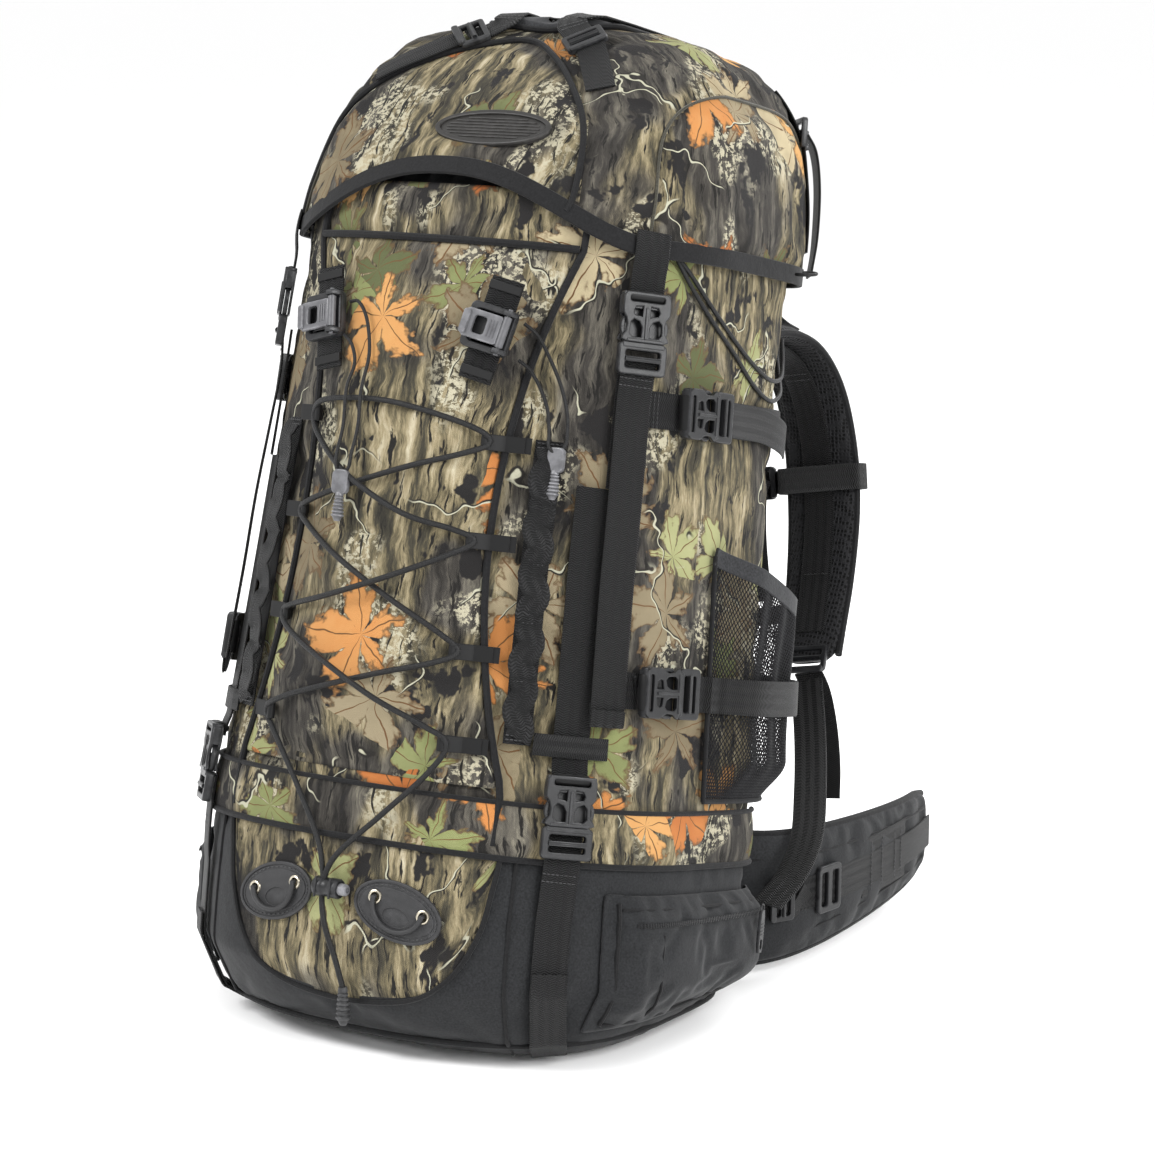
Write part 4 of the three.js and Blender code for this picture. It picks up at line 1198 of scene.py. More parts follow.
# ---------- base ----------
def base_skin():
    """The reinforced base: a charcoal tub with a camouflage patch let into its front."""
    columns, rows = 170, 30
    heights = [0.6, 0.6, 0.6, 3, 8, 14, 20] + [lerp(26, BASE_TOP, n / 22) for n in range(23)]
    reaches = [0.0, 0.6, 0.93] + [1.0] * 27
    arcs = [lerp(ARCS[0], ARCS[-1], c / (columns - 1)) for c in range(columns)]
    vertices, marks = [], []
    for height, reach in zip(heights, reaches):
        for arc in arcs:
            middle = place(0, 0, height)
            vertices.append(middle.lerp(wall(turn_of(arc), height, -0.8), max(reach, 0.02)))
            marks.append((arc, height))
    piece = build("base_skin", (vertices, grid_faces(rows, columns)), BASE_CLOTH, marks=marks,
                  replaces=["base_tub"])
    straps = [arc_of(turn_on(STRAP_TURN - 3, side)) for side in (1, -1)]

    def held(n, point):
        c, r = n % columns, n // columns
        if r < 4 or r > rows - 3 or c in (0, columns - 1) or abs(arcs[c]) > arc_of(60):
            return 1.0
        return 1.0 if any(near_line(arcs[c], strap, 13) for strap in straps) else 0.0

    soften(piece, held, pressure=1.4, growth=0.03, outward=1.6, inward=4.0)
    FINISH.append((piece, 1.8, 1))


PATCH_EDGE = [(-108, 128), (-104, 110), (-96, 84), (-78, 58), (-50, 42), (-14, 36),
              (24, 36), (62, 42), (88, 56), (104, 80), (110, 108), (112, 128)]


def base_patch():
    """The camouflage panel on the base's front, deepest in the middle, with a piped edge."""
    columns, rows = 60, 24
    edge = [tuple(row) for row in spline(PATCH_EDGE, 120)]
    xs = [x for x, _ in edge]
    heights = [height for _, height in edge]

    def spot(u, v):
        x = lerp(-109, 111, u)
        low = float(np.interp(x, xs, heights))
        height = lerp(low, 131, v)
        swell = 1.6 * rise(u, 0.25) * rise(v, 0.3)
        return wall(turn_across(x, height), height, 0.9 + swell)

    solid, marks = skin(rows, columns, spot, lambda u, v: (220 * u + 2200, 95 * v))
    piece = build("base_patch", solid, CAMO, marks=marks)
    FINISH.append((piece, 1.0, 1))
    line = [wall(turn_across(x, height), height, 1.8) for x, height in edge]
    build("base_patch_piping", tube(line, 4.0), BINDING)
    for side, hand in ((1, "right"), (-1, "left")):
        seam = [wall(turn_on(-52, side), height, 0.6) for height in np.linspace(6, 128, 30)]
        build(f"base_seam_{hand}", tube(seam, 3.0, 6), BINDING)
    hem = [wall(turn_of(arc), 15, 0.4) for arc in np.linspace(ARCS[0], ARCS[-1], 140)]
    build("base_hem", tube(hem, 4.2), BINDING)


def storm_band():
    """The flap over the base's zip: a camouflage band bound in black along both edges."""
    columns, rows = 170, 9
    low_arc, high_arc = arc_of(-215), arc_of(35)

    def spot(u, v):
        turn = turn_of(lerp(low_arc, high_arc, u))
        return wall(turn, lerp(126, 164, v), 2.4 + 0.9 * rise(v, 0.5))

    solid, marks = skin(rows, columns, spot, lambda u, v: (lerp(low_arc, high_arc, u) + 3100, 38 * v))
    piece = build("storm_band", solid, CAMO, marks=marks, replaces=["storm_flap"])

    def held(n, point):
        return 1.0 if n // columns in (0, rows - 1) else 0.0

    soften(piece, held, pressure=1.0, growth=0.05, outward=0.9, inward=1.2)
    FINISH.append((piece, 1.0, 1))
    for name, height, thick in (("low", 126.5, 4.4), ("high", 163.5, 3.4)):
        line = [wall(turn_of(arc), height, 2.6) for arc in np.linspace(low_arc, high_arc, 150)]
        build(f"storm_binding_{name}", tube(line, thick), BINDING)


# ---------- pockets ----------
def net_pocket(side, hand):
    """A stretched side pocket of knitted net with a bound top edge."""
    def panel(u, v, lift=0.0):
        height = lerp(172, 342 - 44 * u, v)
        out = 7 + 17.5 * rise(u, 0.3) * smooth((v + 0.04) / 0.25)
        back = lerp(2, 121, u)
        return wall(turn_behind(back, lerp(172, 342, v), side), height, out - 1.3 + lift)

    columns, rows = 58, 70
    vertices, marks = [], []
    for r in range(rows):
        for c in range(columns):
            u, v = (c + 0.5 * (r % 2)) / (columns - 0.5), r / (rows - 1)
            pleat = 1.1 * math.sin(u * 30 + 2 * math.sin(v * 4)) * rise(u, 0.2) * smooth(v * 3)
            vertices.append(panel(u, v, pleat - 0.6))
            marks.append((u * 130, v * 150))
    faces = []
    for r in range(rows - 2):
        for c in range(1, columns - 1):
            right = (r + 1) * columns + c + r % 2
            faces.append((r * columns + c, right, (r + 2) * columns + c, right - 1))
    if side < 0:
        faces = [tuple(reversed(face)) for face in faces]
    piece = build(f"net_pocket_{hand}", (vertices, faces), NET, marks=marks, replaces=[f"mesh_pocket_{hand}"])
    net = piece.modifiers.new("net", "WIREFRAME")
    net.thickness = 1.2 * MM
    net.use_even_offset = False
    top = [panel(u, 1.0, 0.3) for u in np.linspace(0, 1, 40)]
    turns = [turn_behind(lerp(2, 121, u), 300, side) for u in np.linspace(0, 1, 40)]
    outs = [wall_frame(turn, 300).col[2].to_3d() for turn in turns]
    build(f"net_binding_{hand}", band(list(zip(top, outs)), 13, 2.2)[:2], HEATHER)
    around = [panel(0, v, 0.2) for v in np.linspace(1, 0, 20)]
    around += [panel(u, 0, 0.2) for u in np.linspace(0, 1, 30)]
    build(f"net_edge_{hand}", tube(around, 3.6), BINDING)
    build(f"net_rear_{hand}", tube([panel(1, v, 0.2) for v in np.linspace(0, 1, 20)], 3.6), BINDING)


def cargo_pocket(side, hand):
    """A zipped pocket on the base's side with a gusset and a stitched flap line."""
    def panel(u, v, lift=0.0):
        height = 24 + 84 * v
        out = 4.2 + 11 * rise(u, 0.14) * rise(v, 0.2)
        return wall(turn_behind(lerp(-84, 106, u), height, side), height, out - 0.8 + lift)

    columns, rows = 44, 24
    solid, marks = skin(rows, columns, panel, lambda u, v: (u * 190, v * 84))
    vertices, faces = solid
    if side < 0:
        faces = [tuple(reversed(face)) for face in faces]
    piece = build(f"cargo_skin_{hand}", (vertices, faces), BASE_CLOTH, marks=marks,
                  replaces=[f"cargo_pocket_{hand}"])

    def held(n, point):
        c, r = n % columns, n // columns
        return 1.0 if c in (0, columns - 1) or r in (0, rows - 1) or near_line(r, 17, 1) else 0.0

    soften(piece, held, pressure=2.5, growth=0.06, outward=2.4, inward=3.0)
    FINISH.append((piece, 1.2, 1))
    loops = {
        "zip": ([panel(u, 0.80, 0.8) for u in np.linspace(0.10, 0.93, 60)], 3.2),
        "flap": ([panel(u, 0.90, 0.5) for u in np.linspace(0.06, 0.95, 50)], 2.4),
        "edge": ([panel(0.05, v, 0.4) for v in np.linspace(0.94, 0.06, 20)]
                 + [panel(u, 0.05, 0.4) for u in np.linspace(0.06, 0.95, 50)]
                 + [panel(0.96, v, 0.4) for v in np.linspace(0.06, 0.94, 20)], 3.2),
        "gusset": ([panel(0.22, v, 0.4) for v in np.linspace(0.72, 0.06, 20)], 2.2),
    }
    for part, (line, thick) in loops.items():
        build(f"cargo_{part}_{hand}", tube(line, thick, 6), BINDING)
    teeth = []
    for u in np.linspace(0.11, 0.92, 74):
        spot = panel(u, 0.80, 2.0)
        up = (panel(u, 0.83, 2.0) - spot).normalized()
        teeth.append(tube([spot - up * 1.8, spot, spot + up * 1.8], 1.2, 5))
    build(f"cargo_teeth_{hand}", merge(*teeth), PLASTIC)


# ---------- buckles: x across, y along the strap, z out of the wall, the mouth at y = 0 ----------
def bowed(points, low, high, thick_x=3.0):
    """A curved plate through points in x and y, from z low to high."""
    outline = []
    line = spline(points, 16)
    for sign in (1, -1):
        rows = line if sign > 0 else line[::-1]
        for n, (x, y) in enumerate(rows):
            ahead = rows[min(n + 1, 15)] - rows[max(n - 1, 0)]
            ahead = ahead / (np.linalg.norm(ahead) or 1)
            outline.append((x - ahead[1] * thick_x / 2, y + ahead[0] * thick_x / 2))
    return plate(outline, [], low, high, 0.6)


def female_buckle():
    side = [(17.5, 1.5), (16.6, 4), (14.4, 7), (13.9, 12), (14.8, 16),
            (17.2, 19.5), (17.5, 23), (17.2, 31), (15, 34)]
    outline = [(13, 0), *side, *[(-x, y) for x, y in reversed(side)], (-13, 0)]
    slot = rounded(25, 4, 1.5, 0, 29.5)
    big = [(3, 3.5), (9.5, 3.5), (11.6, 6), (11.2, 13), (9, 15.5), (5, 14), (3, 10)]
    small = [(3, 17.5), (8.5, 18.6), (9.4, 21), (8, 24), (3, 24.5)]
    windows = [slot]
    for shape in (big, small):
        windows += [shape, [(-x, y) for x, y in reversed(shape)]]
    top = plate(outline, windows, 6.2, 8.9, 0.8)
    bottom = plate(outline, [slot], 0.3, 2.2, 0.5)
    rails = [plate(rounded(2.6, 13, 1, x, 25.5), [], 1.5, 7, 0.4) for x in (-16, 16)]
    head = plate(rounded(34, 4.6, 1.5, 0, 25.2), [], 1.5, 7, 0.4)
    cross = plate(rounded(34, 3, 1.2, 0, 32.6), [], 1.5, 7.4, 0.4)
    spine_rib = plate(rounded(2.2, 22, 1, 0, 13), [], 8.2, 9.7, 0.5)
    lip = plate(rounded(27, 2.2, 1, 0, 1.2), [], 8.2, 9.5, 0.5)
    return merge(top, bottom, *rails, head, cross, spine_rib, lip)


def male_buckle():
    slots = [rounded(25, 4.2, 1.5, 0, -7.6), rounded(25, 4.2, 1.5, 0, -15.2)]
    body = plate(rounded(35, 21.6, 3, 0, -11.1), slots, 1.4, 7.4, 1.0)
    shoulders = plate(rounded(31, 4, 1.6, 0, -1.8), [], 1.8, 8.0, 0.8)
    roller = tube([(x, -11.4, 7.2) for x in np.linspace(-13, 13, 8)], 3.4, 10)
    ribs = [tube([(-12.5, -11.4 + y, 8.3 - abs(y) * 0.35), (0, -11.4 + y, 8.5 - abs(y) * 0.35),
                  (12.5, -11.4 + y, 8.3 - abs(y) * 0.35)], 0.9, 6) for y in (-1.2, 0, 1.2)]
    arms = []
    for sign in (1, -1):
        bow = ((12, -1), (14.2, 4), (16, 9), (15.2, 14), (12, 18))
        arms.append(bowed([(sign * x, y) for x, y in bow], 2.6, 5.9, 2.8))
    guide = plate(rounded(3, 14, 1.2, 0, 5), [], 2.8, 5.4, 0.5)
    return merge(body, shoulders, roller, *ribs, *arms, guide)


def ladder_lock(width=25.0):
    """A webbing adjuster: a rounded frame, a lifted lip and a cross bar."""
    slots = [rounded(width, 4.4, 1.4, 0, y) for y in (4.6, -4.4)]
    frame = plate(rounded(width + 8, 22, 3), slots, 0.4, 4.6, 0.9)
    lip = plate(rounded(width + 6, 5, 2, 0, -10.5), [], 3.4, 6.6, 0.8)
    bar = tube([(x, 0, 5.0) for x in np.linspace(-width / 2, width / 2, 6)], 3.2, 8)
    return merge(frame, lip, bar)


def webbing_wrap(y, low=0.2, high=8.2, width=24.4):
    """A fold of webbing through a buckle's slot."""
    loops = []
    for n in range(13):
        a = math.pi * 2 * n / 12
        loops.append((Vector((0, y + 3.1 * math.sin(a), (low + high) / 2 - (high - low) / 2 * math.cos(a))),
                      Vector((0, math.sin(a), -math.cos(a)))))
    return band(loops, width, 1.5)[:2]


def stitches(frame, width, y, z, rows=1):
    """Short raised threads across a strap."""
    made = []
    for row in range(rows):
        for x in np.arange(-width / 2 + 2, width / 2 - 1, 3.0):
            along = y + row * 3
            made.append(tube([(x, along, z), (x + 1, along, z + 0.35), (x + 2, along, z)], 0.7, 5))
    return moved(merge(*made), frame)


def buckle_pair(name, frame, female_body, male_body, replaces, reach=4.6):
    """Both halves of a side-release buckle, with the webbing folded through them."""
    build(f"{name}_female", moved(female_buckle(), frame), PLASTIC, female_body)
    build(f"{name}_male", moved(male_buckle(), frame), PLASTIC, male_body, replaces=replaces)
    build(f"{name}_fold", moved(webbing_wrap(31.4, -reach + 1.2, 8.0), frame), WEB, female_body)


def stitch_path(name, path, spots, width=WEBBING, body="pack"):
    """Cross-stitched rows at millimetres along a strap's path."""
    points = [point for point, _ in path]
    far = np.concatenate([[0], np.cumsum([(b - a).length for a, b in zip(points, points[1:])])])
    made = []
    for spot in spots:
        n = int(np.searchsorted(far, spot))
        n = min(max(n, 1), len(points) - 2)
        ahead = (points[n + 1] - points[n - 1]).normalized()
        across = ahead.cross(path[n][1]).normalized()
        out = across.cross(ahead)
        frame = Matrix((across, ahead, out)).transposed().to_4x4()
        frame.translation = points[n]
        made.append(stitches(frame, width, 0, WEB_THICK / 2 - 0.15))
    build(name, merge(*made), THREAD, body)


def strap_down(turn, stops, step=5.0):
    """A strap's path at one turn of the wall, from heights and offsets."""
    return wall_path([(turn, height, offset) for height, offset in stops], step)


def corner_straps(side, hand):
    """The lid's closing strap and the base strap that run down each front corner."""
    lid_turn, base_turn = turn_on(STRAP_TURN + 5, side), turn_on(STRAP_TURN - 3, side)
    frame_at = wall_frame(lid_turn, 480, 7)
    short = strap_down(lid_turn, [(556, 11.5), (540, 11.8), (526, 9.6), (512, 9.5)])
    strap_piece(f"lid_strap_{hand}_upper", short, body="lid", replaces=[f"lid_strap_{hand}"])
    buckle_pair(f"lid_buckle_{hand}", frame_at, "lid", f"lid_buckle_{hand}",
                [f"lid_buckle_male_{hand}"], 0.4)
    tail = strap_down(lid_turn, [(471, 10), (462, 9), (440, 7), (400, 8), (350, 9.4),
                                 (300, 9.2), (260, 9.6), (232, 9.8), (224, 9.4)])
    strap_piece(f"lid_tail_{hand}", tail, replaces=[f"lid_webbing_{hand}"])
    under = strap_down(lid_turn, [(470, 4.2), (440, 3.6), (400, 3.4), (380, 3.4)])
    strap_piece(f"lid_anchor_{hand}", under)
    fold = strap_down(lid_turn, [(232, 11.6), (222.5, 10.8), (222.5, 9.4), (236, 7.8)], 1.5)
    strap_piece(f"lid_tail_fold_{hand}", fold, thick=1.6)
    stitch_path(f"lid_stitching_{hand}", tail, [14, 17, path_length([p for p, _ in tail]) - 10])
    base = strap_down(base_turn, [(380, 1.5), (320, 1.5), (260, 1.7), (200, 2.4), (185, 5), (178, 5)])
    strap_piece(f"base_strap_{hand}_upper", base, replaces=[f"base_strap_{hand}_webbing"])
    lower = strap_down(base_turn, [(150, 5.6), (122, 5.4), (100, 4.2), (90, 2.8), (50, 2.4), (22, 2.8), (9, 3.4)])
    strap_piece(f"base_strap_{hand}_lower", lower)
    end = strap_down(base_turn, [(62, 4.6), (30, 4.8), (12, 5.2), (6, 4.8)], 2)
    strap_piece(f"base_strap_{hand}_loop", end)
    buckle_pair(f"base_buckle_{hand}", wall_frame(base_turn, 152, 6.4), "pack", f"base_buckle_{hand}",
                [f"base_strap_{hand}_male"])
    stitch_path(f"base_stitching_{hand}", lower, [30, 33, 120, 123])
    keeper = []
    for share, turn in zip(np.linspace(0, 1, 12), np.linspace(-10, 10, 12)):
        out = wall_frame(base_turn + turn, 205).col[2].to_3d()
        keeper.append((wall(base_turn + turn, 205, 3.8 + 1.2 * rise(share, 0.2)), out))
    strap_piece(f"keeper_{hand}", keeper, 15, 1.6)


def side_straps(side, hand):
    """The two compression straps across each side."""
    spin = 90 if side > 0 else -90
    levels = (("upper", 437, -18, 4, UPPER_ROUTE), ("lower", 246, -42, 6, LOWER_STRAP_ROUTE))
    for level, height, mouth, offset, route in levels:
        name = f"{level}_strap_{hand}"
        frame_at = wall_frame(turn_behind(mouth, height, side), height, offset, spin)
        front = [stop for stop in route if stop[0] < mouth - 20] + [(mouth - 27, offset + 1.0)]
        back = [(mouth + 13, offset + 2.2)] + [stop for stop in route if stop[0] > mouth + 20]
        if level == "upper":
            back = [(b, o + 0.6) for b, o in back]
        ahead = wall_path([(turn_behind(b, height, side), height, o) for b, o in front], 3)
        strap_piece(f"{name}_front", ahead, replaces=[f"{name}_webbing"])
        behind = wall_path([(turn_behind(b, height, side), height, o) for b, o in back], 3)
        strap_piece(f"{name}_rear", behind)
        buckle = f"{level}_buckle_{hand}"
        buckle_pair(buckle, frame_at, "pack", buckle, [f"{name}_male"], 2.0)
        stitch_path(f"{name}_stitching", ahead, [6, 9])
        if level == "upper":
            hanging = ((mouth + 16, 437, 9), (30, 437, 7), (55, 436, 6.4),
                       (75, 433, 7), (92, 429, 8), (100, 427, 8))
            tail = [(turn_behind(b, h, side), h, o) for b, h, o in hanging]
            strap_piece(f"{name}_tail", wall_path(tail, 3), 24, body=buckle)


# ---------- front fittings ----------
def daisy_chain(side, hand):
    """A ladder of webbing loops: a flat strap under one that stands off between bar tacks."""
    turn = turn_on(DAISY_TURN, side)
    flat = wall_path([(turn, height, 1.5) for height in (408, 360, 315, 270, 225, 203)])
    strap_piece(f"daisy_base_{hand}", flat, 19, 1.5, replaces=[f"daisy_chain_{hand}"])
    stops, tacks = [], []
    lengths = 5
    for n in range(lengths * 10 + 1):
        share = n / (lengths * 10)
        height = lerp(404, 207, share)
        bulge = abs(math.sin(share * lengths * math.pi)) ** 0.8
        stops.append((turn + side * 1.3 * bulge * math.sin(share * 40), height, 2.9 + 3.4 * bulge))
        if n % 10 == 0:
            tacks.append(height)
    strap_piece(f"daisy_loops_{hand}", wall_path(stops, 3), 18, 1.5, cup=-0.5)
    made = [stitches(wall_frame(turn, height, 0), 19, -1.2, 3.7, 2) for height in tacks]
    build(f"daisy_tacks_{hand}", merge(*made), THREAD)


def lever_clip(side, hand):
    """A cam clip: a webbing tab, a moulded housing, a lever with a window and a roller."""
    frame_at = wall_frame(turn_across(side * 60, 478), 478, 17.5, side * -12)
    tab = band([(Vector((0, y, 1.6)), Vector((0, 0, 1))) for y in np.linspace(-36, 36, 20)], 24, 2.0)
    build(f"clip_tab_{hand}", moved(tab[:2], frame_at), WEB, marks=tab[2])
    ends = []
    for y, flip in ((33, 1), (-33, -1)):
        wedge = plate([(-12, y - flip * 6), (12, y - flip * 6), (12, y), (-12, y)][::flip], [], 2.2, 4.0, 0.5)
        ends.append(wedge)
    build(f"clip_tab_ends_{hand}", moved(merge(*ends), frame_at), WEB)
    slots = [rounded(20, 3.2, 1, 0, y) for y in (11.4, -11.4)]
    foot = plate(rounded(34, 32, 4), slots, 2.6, 7.6, 1.0)
    rim = plate(rounded(34, 32, 4), [rounded(25, 22.5, 3)], 6.5, 9.5, 0.8)
    ears = []
    for y in (13.2, -13.2):
        ear = plate([(-5, -3), (5, -3), (4.6, 3), (2.6, 5.6), (-2.6, 5.6), (-4.6, 3)], [], -1.7, 1.7, 0.6)
        ears.append(moved(ear, shift(13, y, 11) @ Matrix.Rotation(math.pi / 2, 4, "X")))
    build(f"clip_housing_{hand}", moved(merge(foot, rim, *ears), frame_at), PLASTIC,
          replaces=[f"clip_base_{hand}"])
    blade = plate([(-17.5, -8), (-15, -10), (9, -10), (10.5, -9), (10.5, 9), (9, 10), (-15, 10), (-17.5, 8)],
                  [rounded(9, 12, 2, -5, 0)], 11.2, 14.6, 1.0)
    lip = plate(rounded(5, 17, 2, -15.5, 0), [], 13.6, 16.4, 0.8)
    knuckle = tube([(13, y, 13) for y in np.linspace(-10.6, 10.6, 6)], 5.6, 16)
    pin = tube([(13, y, 13) for y in np.linspace(-16.2, 16.2, 6)], 3.2, 12)
    grip = [tube([(x, -6, 14.6), (x, 0, 14.8), (x, 6, 14.6)], 1.1, 6) for x in (2.5, 4.8, 7.1)]
    build(f"clip_lever_{hand}_skin", moved(merge(blade, lip, knuckle, pin, *grip), frame_at), LEVER,
          f"clip_lever_{hand}", replaces=[f"clip_lever_{hand}"])


# one tab folded round the lacing: across from its loop, and lift off the pocket
TAB_FOLD = [
    (22, 1.4), (14, 1.6), (6, 2.4), (0, 5.2), (-4.5, 7.8), (-7.5, 8.4), (-8.6, 6.4), (-6, 3.6),
    (0, 2.6), (8, 2.4), (18, 2.2),
]


def lace_tabs():
    """Short webbing loops at the pocket's edges that guide the lacing."""
    across = Vector((0, math.sin(LEAN), math.cos(LEAN)))
    for n, (x, height) in enumerate(LACE_TABS):
        sign = 1 if x > 0 else -1
        out = wall_frame(turn_across(x, height), height).col[2].to_3d()
        fine = spline([(*on_front(x + sign * far, height, lift), *out) for far, lift in TAB_FOLD], 40)
        points = [Vector(row[:3]) for row in fine]
        path = []
        for k, point in enumerate(points):
            ahead = (points[min(k + 1, 39)] - points[max(k - 1, 0)]).normalized()
            path.append((point, across.cross(ahead)))
        build(f"lace_tab_{n + 1}", band(path, 11, 1.3)[:2], WEB)


def cord_lock():
    """The barrel lock that holds the lacing, with its button."""
    frame_at = wall_frame(-90, 96, 12)
    lie = Matrix.Rotation(math.pi / 2, 4, "Y")
    profile = [(4.4, -10), (6.2, -10), (7.0, -8.8), (7.0, -3), (6.6, -2.4),
               (6.6, 2.4), (7.0, 3), (7.0, 8.8), (6.2, 10), (4.6, 10)]
    barrel = moved(turned(profile, 24), lie)
    fins = [plate(rounded(1.4, 14, 0.6, x, 0), [], 6.2, 7.8, 0.3) for x in (-6, 6)]
    build("cord_lock_barrel", moved(merge(barrel, *fins), frame_at), PLASTIC, "cord_lock",
          replaces=["cord_lock"])
    button = moved(turned([(4.2, 4), (4.2, 14.5), (3.4, 15.8), (2.0, 16), (1.9, 15.4)], 20), lie)
    build("cord_lock_press", moved(button, frame_at), LEVER, "cord_lock_button",
          replaces=["cord_lock_button"])


def gear_patch(side, hand):
    """A stitched rubber oval with two eyelets and a bail hinged in them."""
    frame_at = wall_frame(turn_across(side * 50, 88), 88, 1.8, side * -14)
    holes = [oval(6.4, 6.4, x, 4, 16) for x in (-19, 19)]
    base = plate(oval(68, 40), holes, 0.6, 2.2, 0.5)
    rim = plate(oval(68, 40), [oval(63.5, 35.5)], 1.2, 3.2, 0.6)
    field = plate(oval(57, 29, steps=24), [*holes, oval(20, 12, 0, -4)], 1.6, 2.9, 0.4)
    build(f"gear_oval_{hand}", moved(merge(base, rim, field), frame_at), RUBBER,
          replaces=[f"gear_patch_{hand}"])
    threads = []
    for n in range(44):
        a, b = 2 * math.pi * n / 44, 2 * math.pi * (n + 0.55) / 44
        stitch = [(30.2 * math.cos(t), 16.2 * math.sin(t), 2.5) for t in (a, (a + b) / 2, b)]
        threads.append(tube(stitch, 0.8, 5))
    build(f"gear_stitching_{hand}", moved(merge(*threads), frame_at), THREAD)
    eyelets = merge(*[ring(3.9, 2.2, (x, 4, 2.9)) for x in (-19, 19)])
    build(f"gear_eyelets_{hand}", moved(eyelets, frame_at), BRASS)
    turns = [math.pi * (1 + n / 24) for n in range(25)]
    arc = [(19 * math.cos(turn), 4 + 17 * math.sin(turn), 5.4) for turn in turns]
    arc = [(-19, 4, 3.4)] + arc + [(19, 4, 3.4)]
    loop = f"gear_loop_{hand}"
    build(f"gear_bail_{hand}", moved(tube(arc, 3.8, 12), frame_at), RUBBER, loop, replaces=[loop])


# ---------- harness ----------
def plane_stops(rows):
    """Stops of a strap in a plane of constant x, its outward side on the left of the path."""
    made = []
    for n, (x, y, z) in enumerate(rows):
        _, y0, z0 = rows[max(n - 1, 0)]
        _, y1, z1 = rows[min(n + 1, len(rows) - 1)]
        made.append((Vector((x, y, z)), Vector((0, z1 - z0, y0 - y1)).normalized()))
    return made


def fine_stops(stops, step):
    """Closer stops along the same path."""
    return faced_path(spline([(*point, *out) for point, out in stops], len(stops) * 12), step)


def pad(path, width, thick, sides=28, end=0.08):
    """A stuffed strap: a crowned section, drawn in at both ends; also gives each vertex's place."""
    loops, spots = [], []
    last = len(path) - 1
    for n, (point, out) in enumerate(path):
        share = n / last
        ahead = (path[min(n + 1, last)][0] - path[max(n - 1, 0)][0]).normalized()
        across = ahead.cross(out).normalized()
        face = across.cross(ahead)
        full = math.sqrt(max(0.0, 1 - (1 - min(1, min(share, 1 - share) / end)) ** 2)) * 0.9 + 0.1
        wide = (width(share) if callable(width) else width) / 2 * lerp(1, full, 0.55)
        deep = thick / 2 * lerp(1, full, 0.8)
        loop = []
        for k in range(sides):
            a = 2 * math.pi * k / sides
            u = math.copysign(abs(math.cos(a)) ** 0.6, math.cos(a))
            w = math.copysign(abs(math.sin(a)) ** 0.75, math.sin(a))
            loop.append(point + across * (u * wide) + face * (w * deep))
            spots.append((u, share))
        loops.append(loop)
    vertices, faces = rings(loops)
    return vertices, faces, spots


def edge_line(path, width, side, lift=0.0):
    """The line along one edge of a padded strap."""
    line = []
    last = len(path) - 1
    for n, (point, out) in enumerate(path):
        ahead = (path[min(n + 1, last)][0] - path[max(n - 1, 0)][0]).normalized()
        across = ahead.cross(out).normalized()
        wide = width(n / last) if callable(width) else width
        line.append(point + across * side * wide / 2 + across.cross(ahead) * lift)
    return line


def lifted(path, lift, start=0.0, end=1.0):
    """Part of a path, raised off its face."""
    last = len(path) - 1
    return [(point + out * lift, out) for point, out in path[int(start * last):int(end * last) + 1]]


def shoulder_strap(side, hand):
    body = f"shoulder_strap_{hand}"
    path = fine_stops(plane_stops([(x * side, y, z) for x, y, z in PAD_ROUTE]), 6)

    def width(share):
        return 59 - 10 * smooth((share - 0.55) / 0.45)

    vertices, faces, spots = pad(path, width, 12.0)
    piece = build(f"shoulder_pad_{hand}", (vertices, faces), AIR_MESH, body, replaces=[body])

    def held(n, point):
        if n >= len(spots):
            return 1.0
        u, share = spots[n]
        return 1.0 if abs(u) > 0.86 or share < 0.03 or share > 0.97 or near_line(abs(u), 0.42, 0.1) else 0.0

    soften(piece, held, pressure=4.0, growth=0.02, outward=2.0, inward=1.0)
    FINISH.append((piece, 0, 1))
    for edge, label in ((1, "outer"), (-1, "inner")):
        line = edge_line(path, lambda share: width(share) - 1, edge)[1:-1]
        build(f"shoulder_binding_{label}_{hand}", tube(line, 5.5), BINDING, body)
    strap_piece(f"shoulder_webbing_top_{hand}", lifted(path, 7.8, 0.08, 0.94), 25, 1.6, body)
    stitch_path(f"shoulder_stitching_{hand}", lifted(path, 8.2, 0.08, 0.94),
                [12, 16, 90, 94, 170, 174, 250, 254], 24, body)
    tip, above = path[-1][0], path[-4][0]
    down = (tip - above).normalized()
    out = path[-1][1]
    across = down.cross(out).normalized()
    frame_at = Matrix((across, down * -1, out)).transposed().to_4x4()
    if frame_at.determinant() < 0:
        frame_at = Matrix((across * -1, down * -1, out)).transposed().to_4x4()
    frame_at.translation = tip - down * 2 + out * 4
    build(f"shoulder_lock_{hand}", moved(moved(ladder_lock(), shift(0, 0, -2)), frame_at), PLASTIC, body)


def lower_webbing(side, hand):
    """The strap from the shoulder pad's tip down to the hip."""
    rows = [(x * side, y, z) for x, y, z in LOWER_ROUTE]
    path = fine_stops(plane_stops(rows), 4)
    vertices, faces, marks = band(path, WEBBING, WEB_THICK)
    name = f"lower_webbing_{hand}"
    mesh_piece = build(name, (vertices, faces), WEB, None, marks, [f"shoulder_webbing_{hand}"])
    metres(rows[-1])
    metres(rows[0])
    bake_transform(mesh_piece)
    loose = [(118, 300, 204), (126, 302, 186), (133, 300, 160), (138, 296, 132), (141, 290, 108)]
    tail = fine_stops(plane_stops([(x * side, y, z) for x, y, z in loose]), 4)
    strap_piece(f"shoulder_tail_{hand}", tail, 24, 1.6, f"shoulder_strap_{hand}")


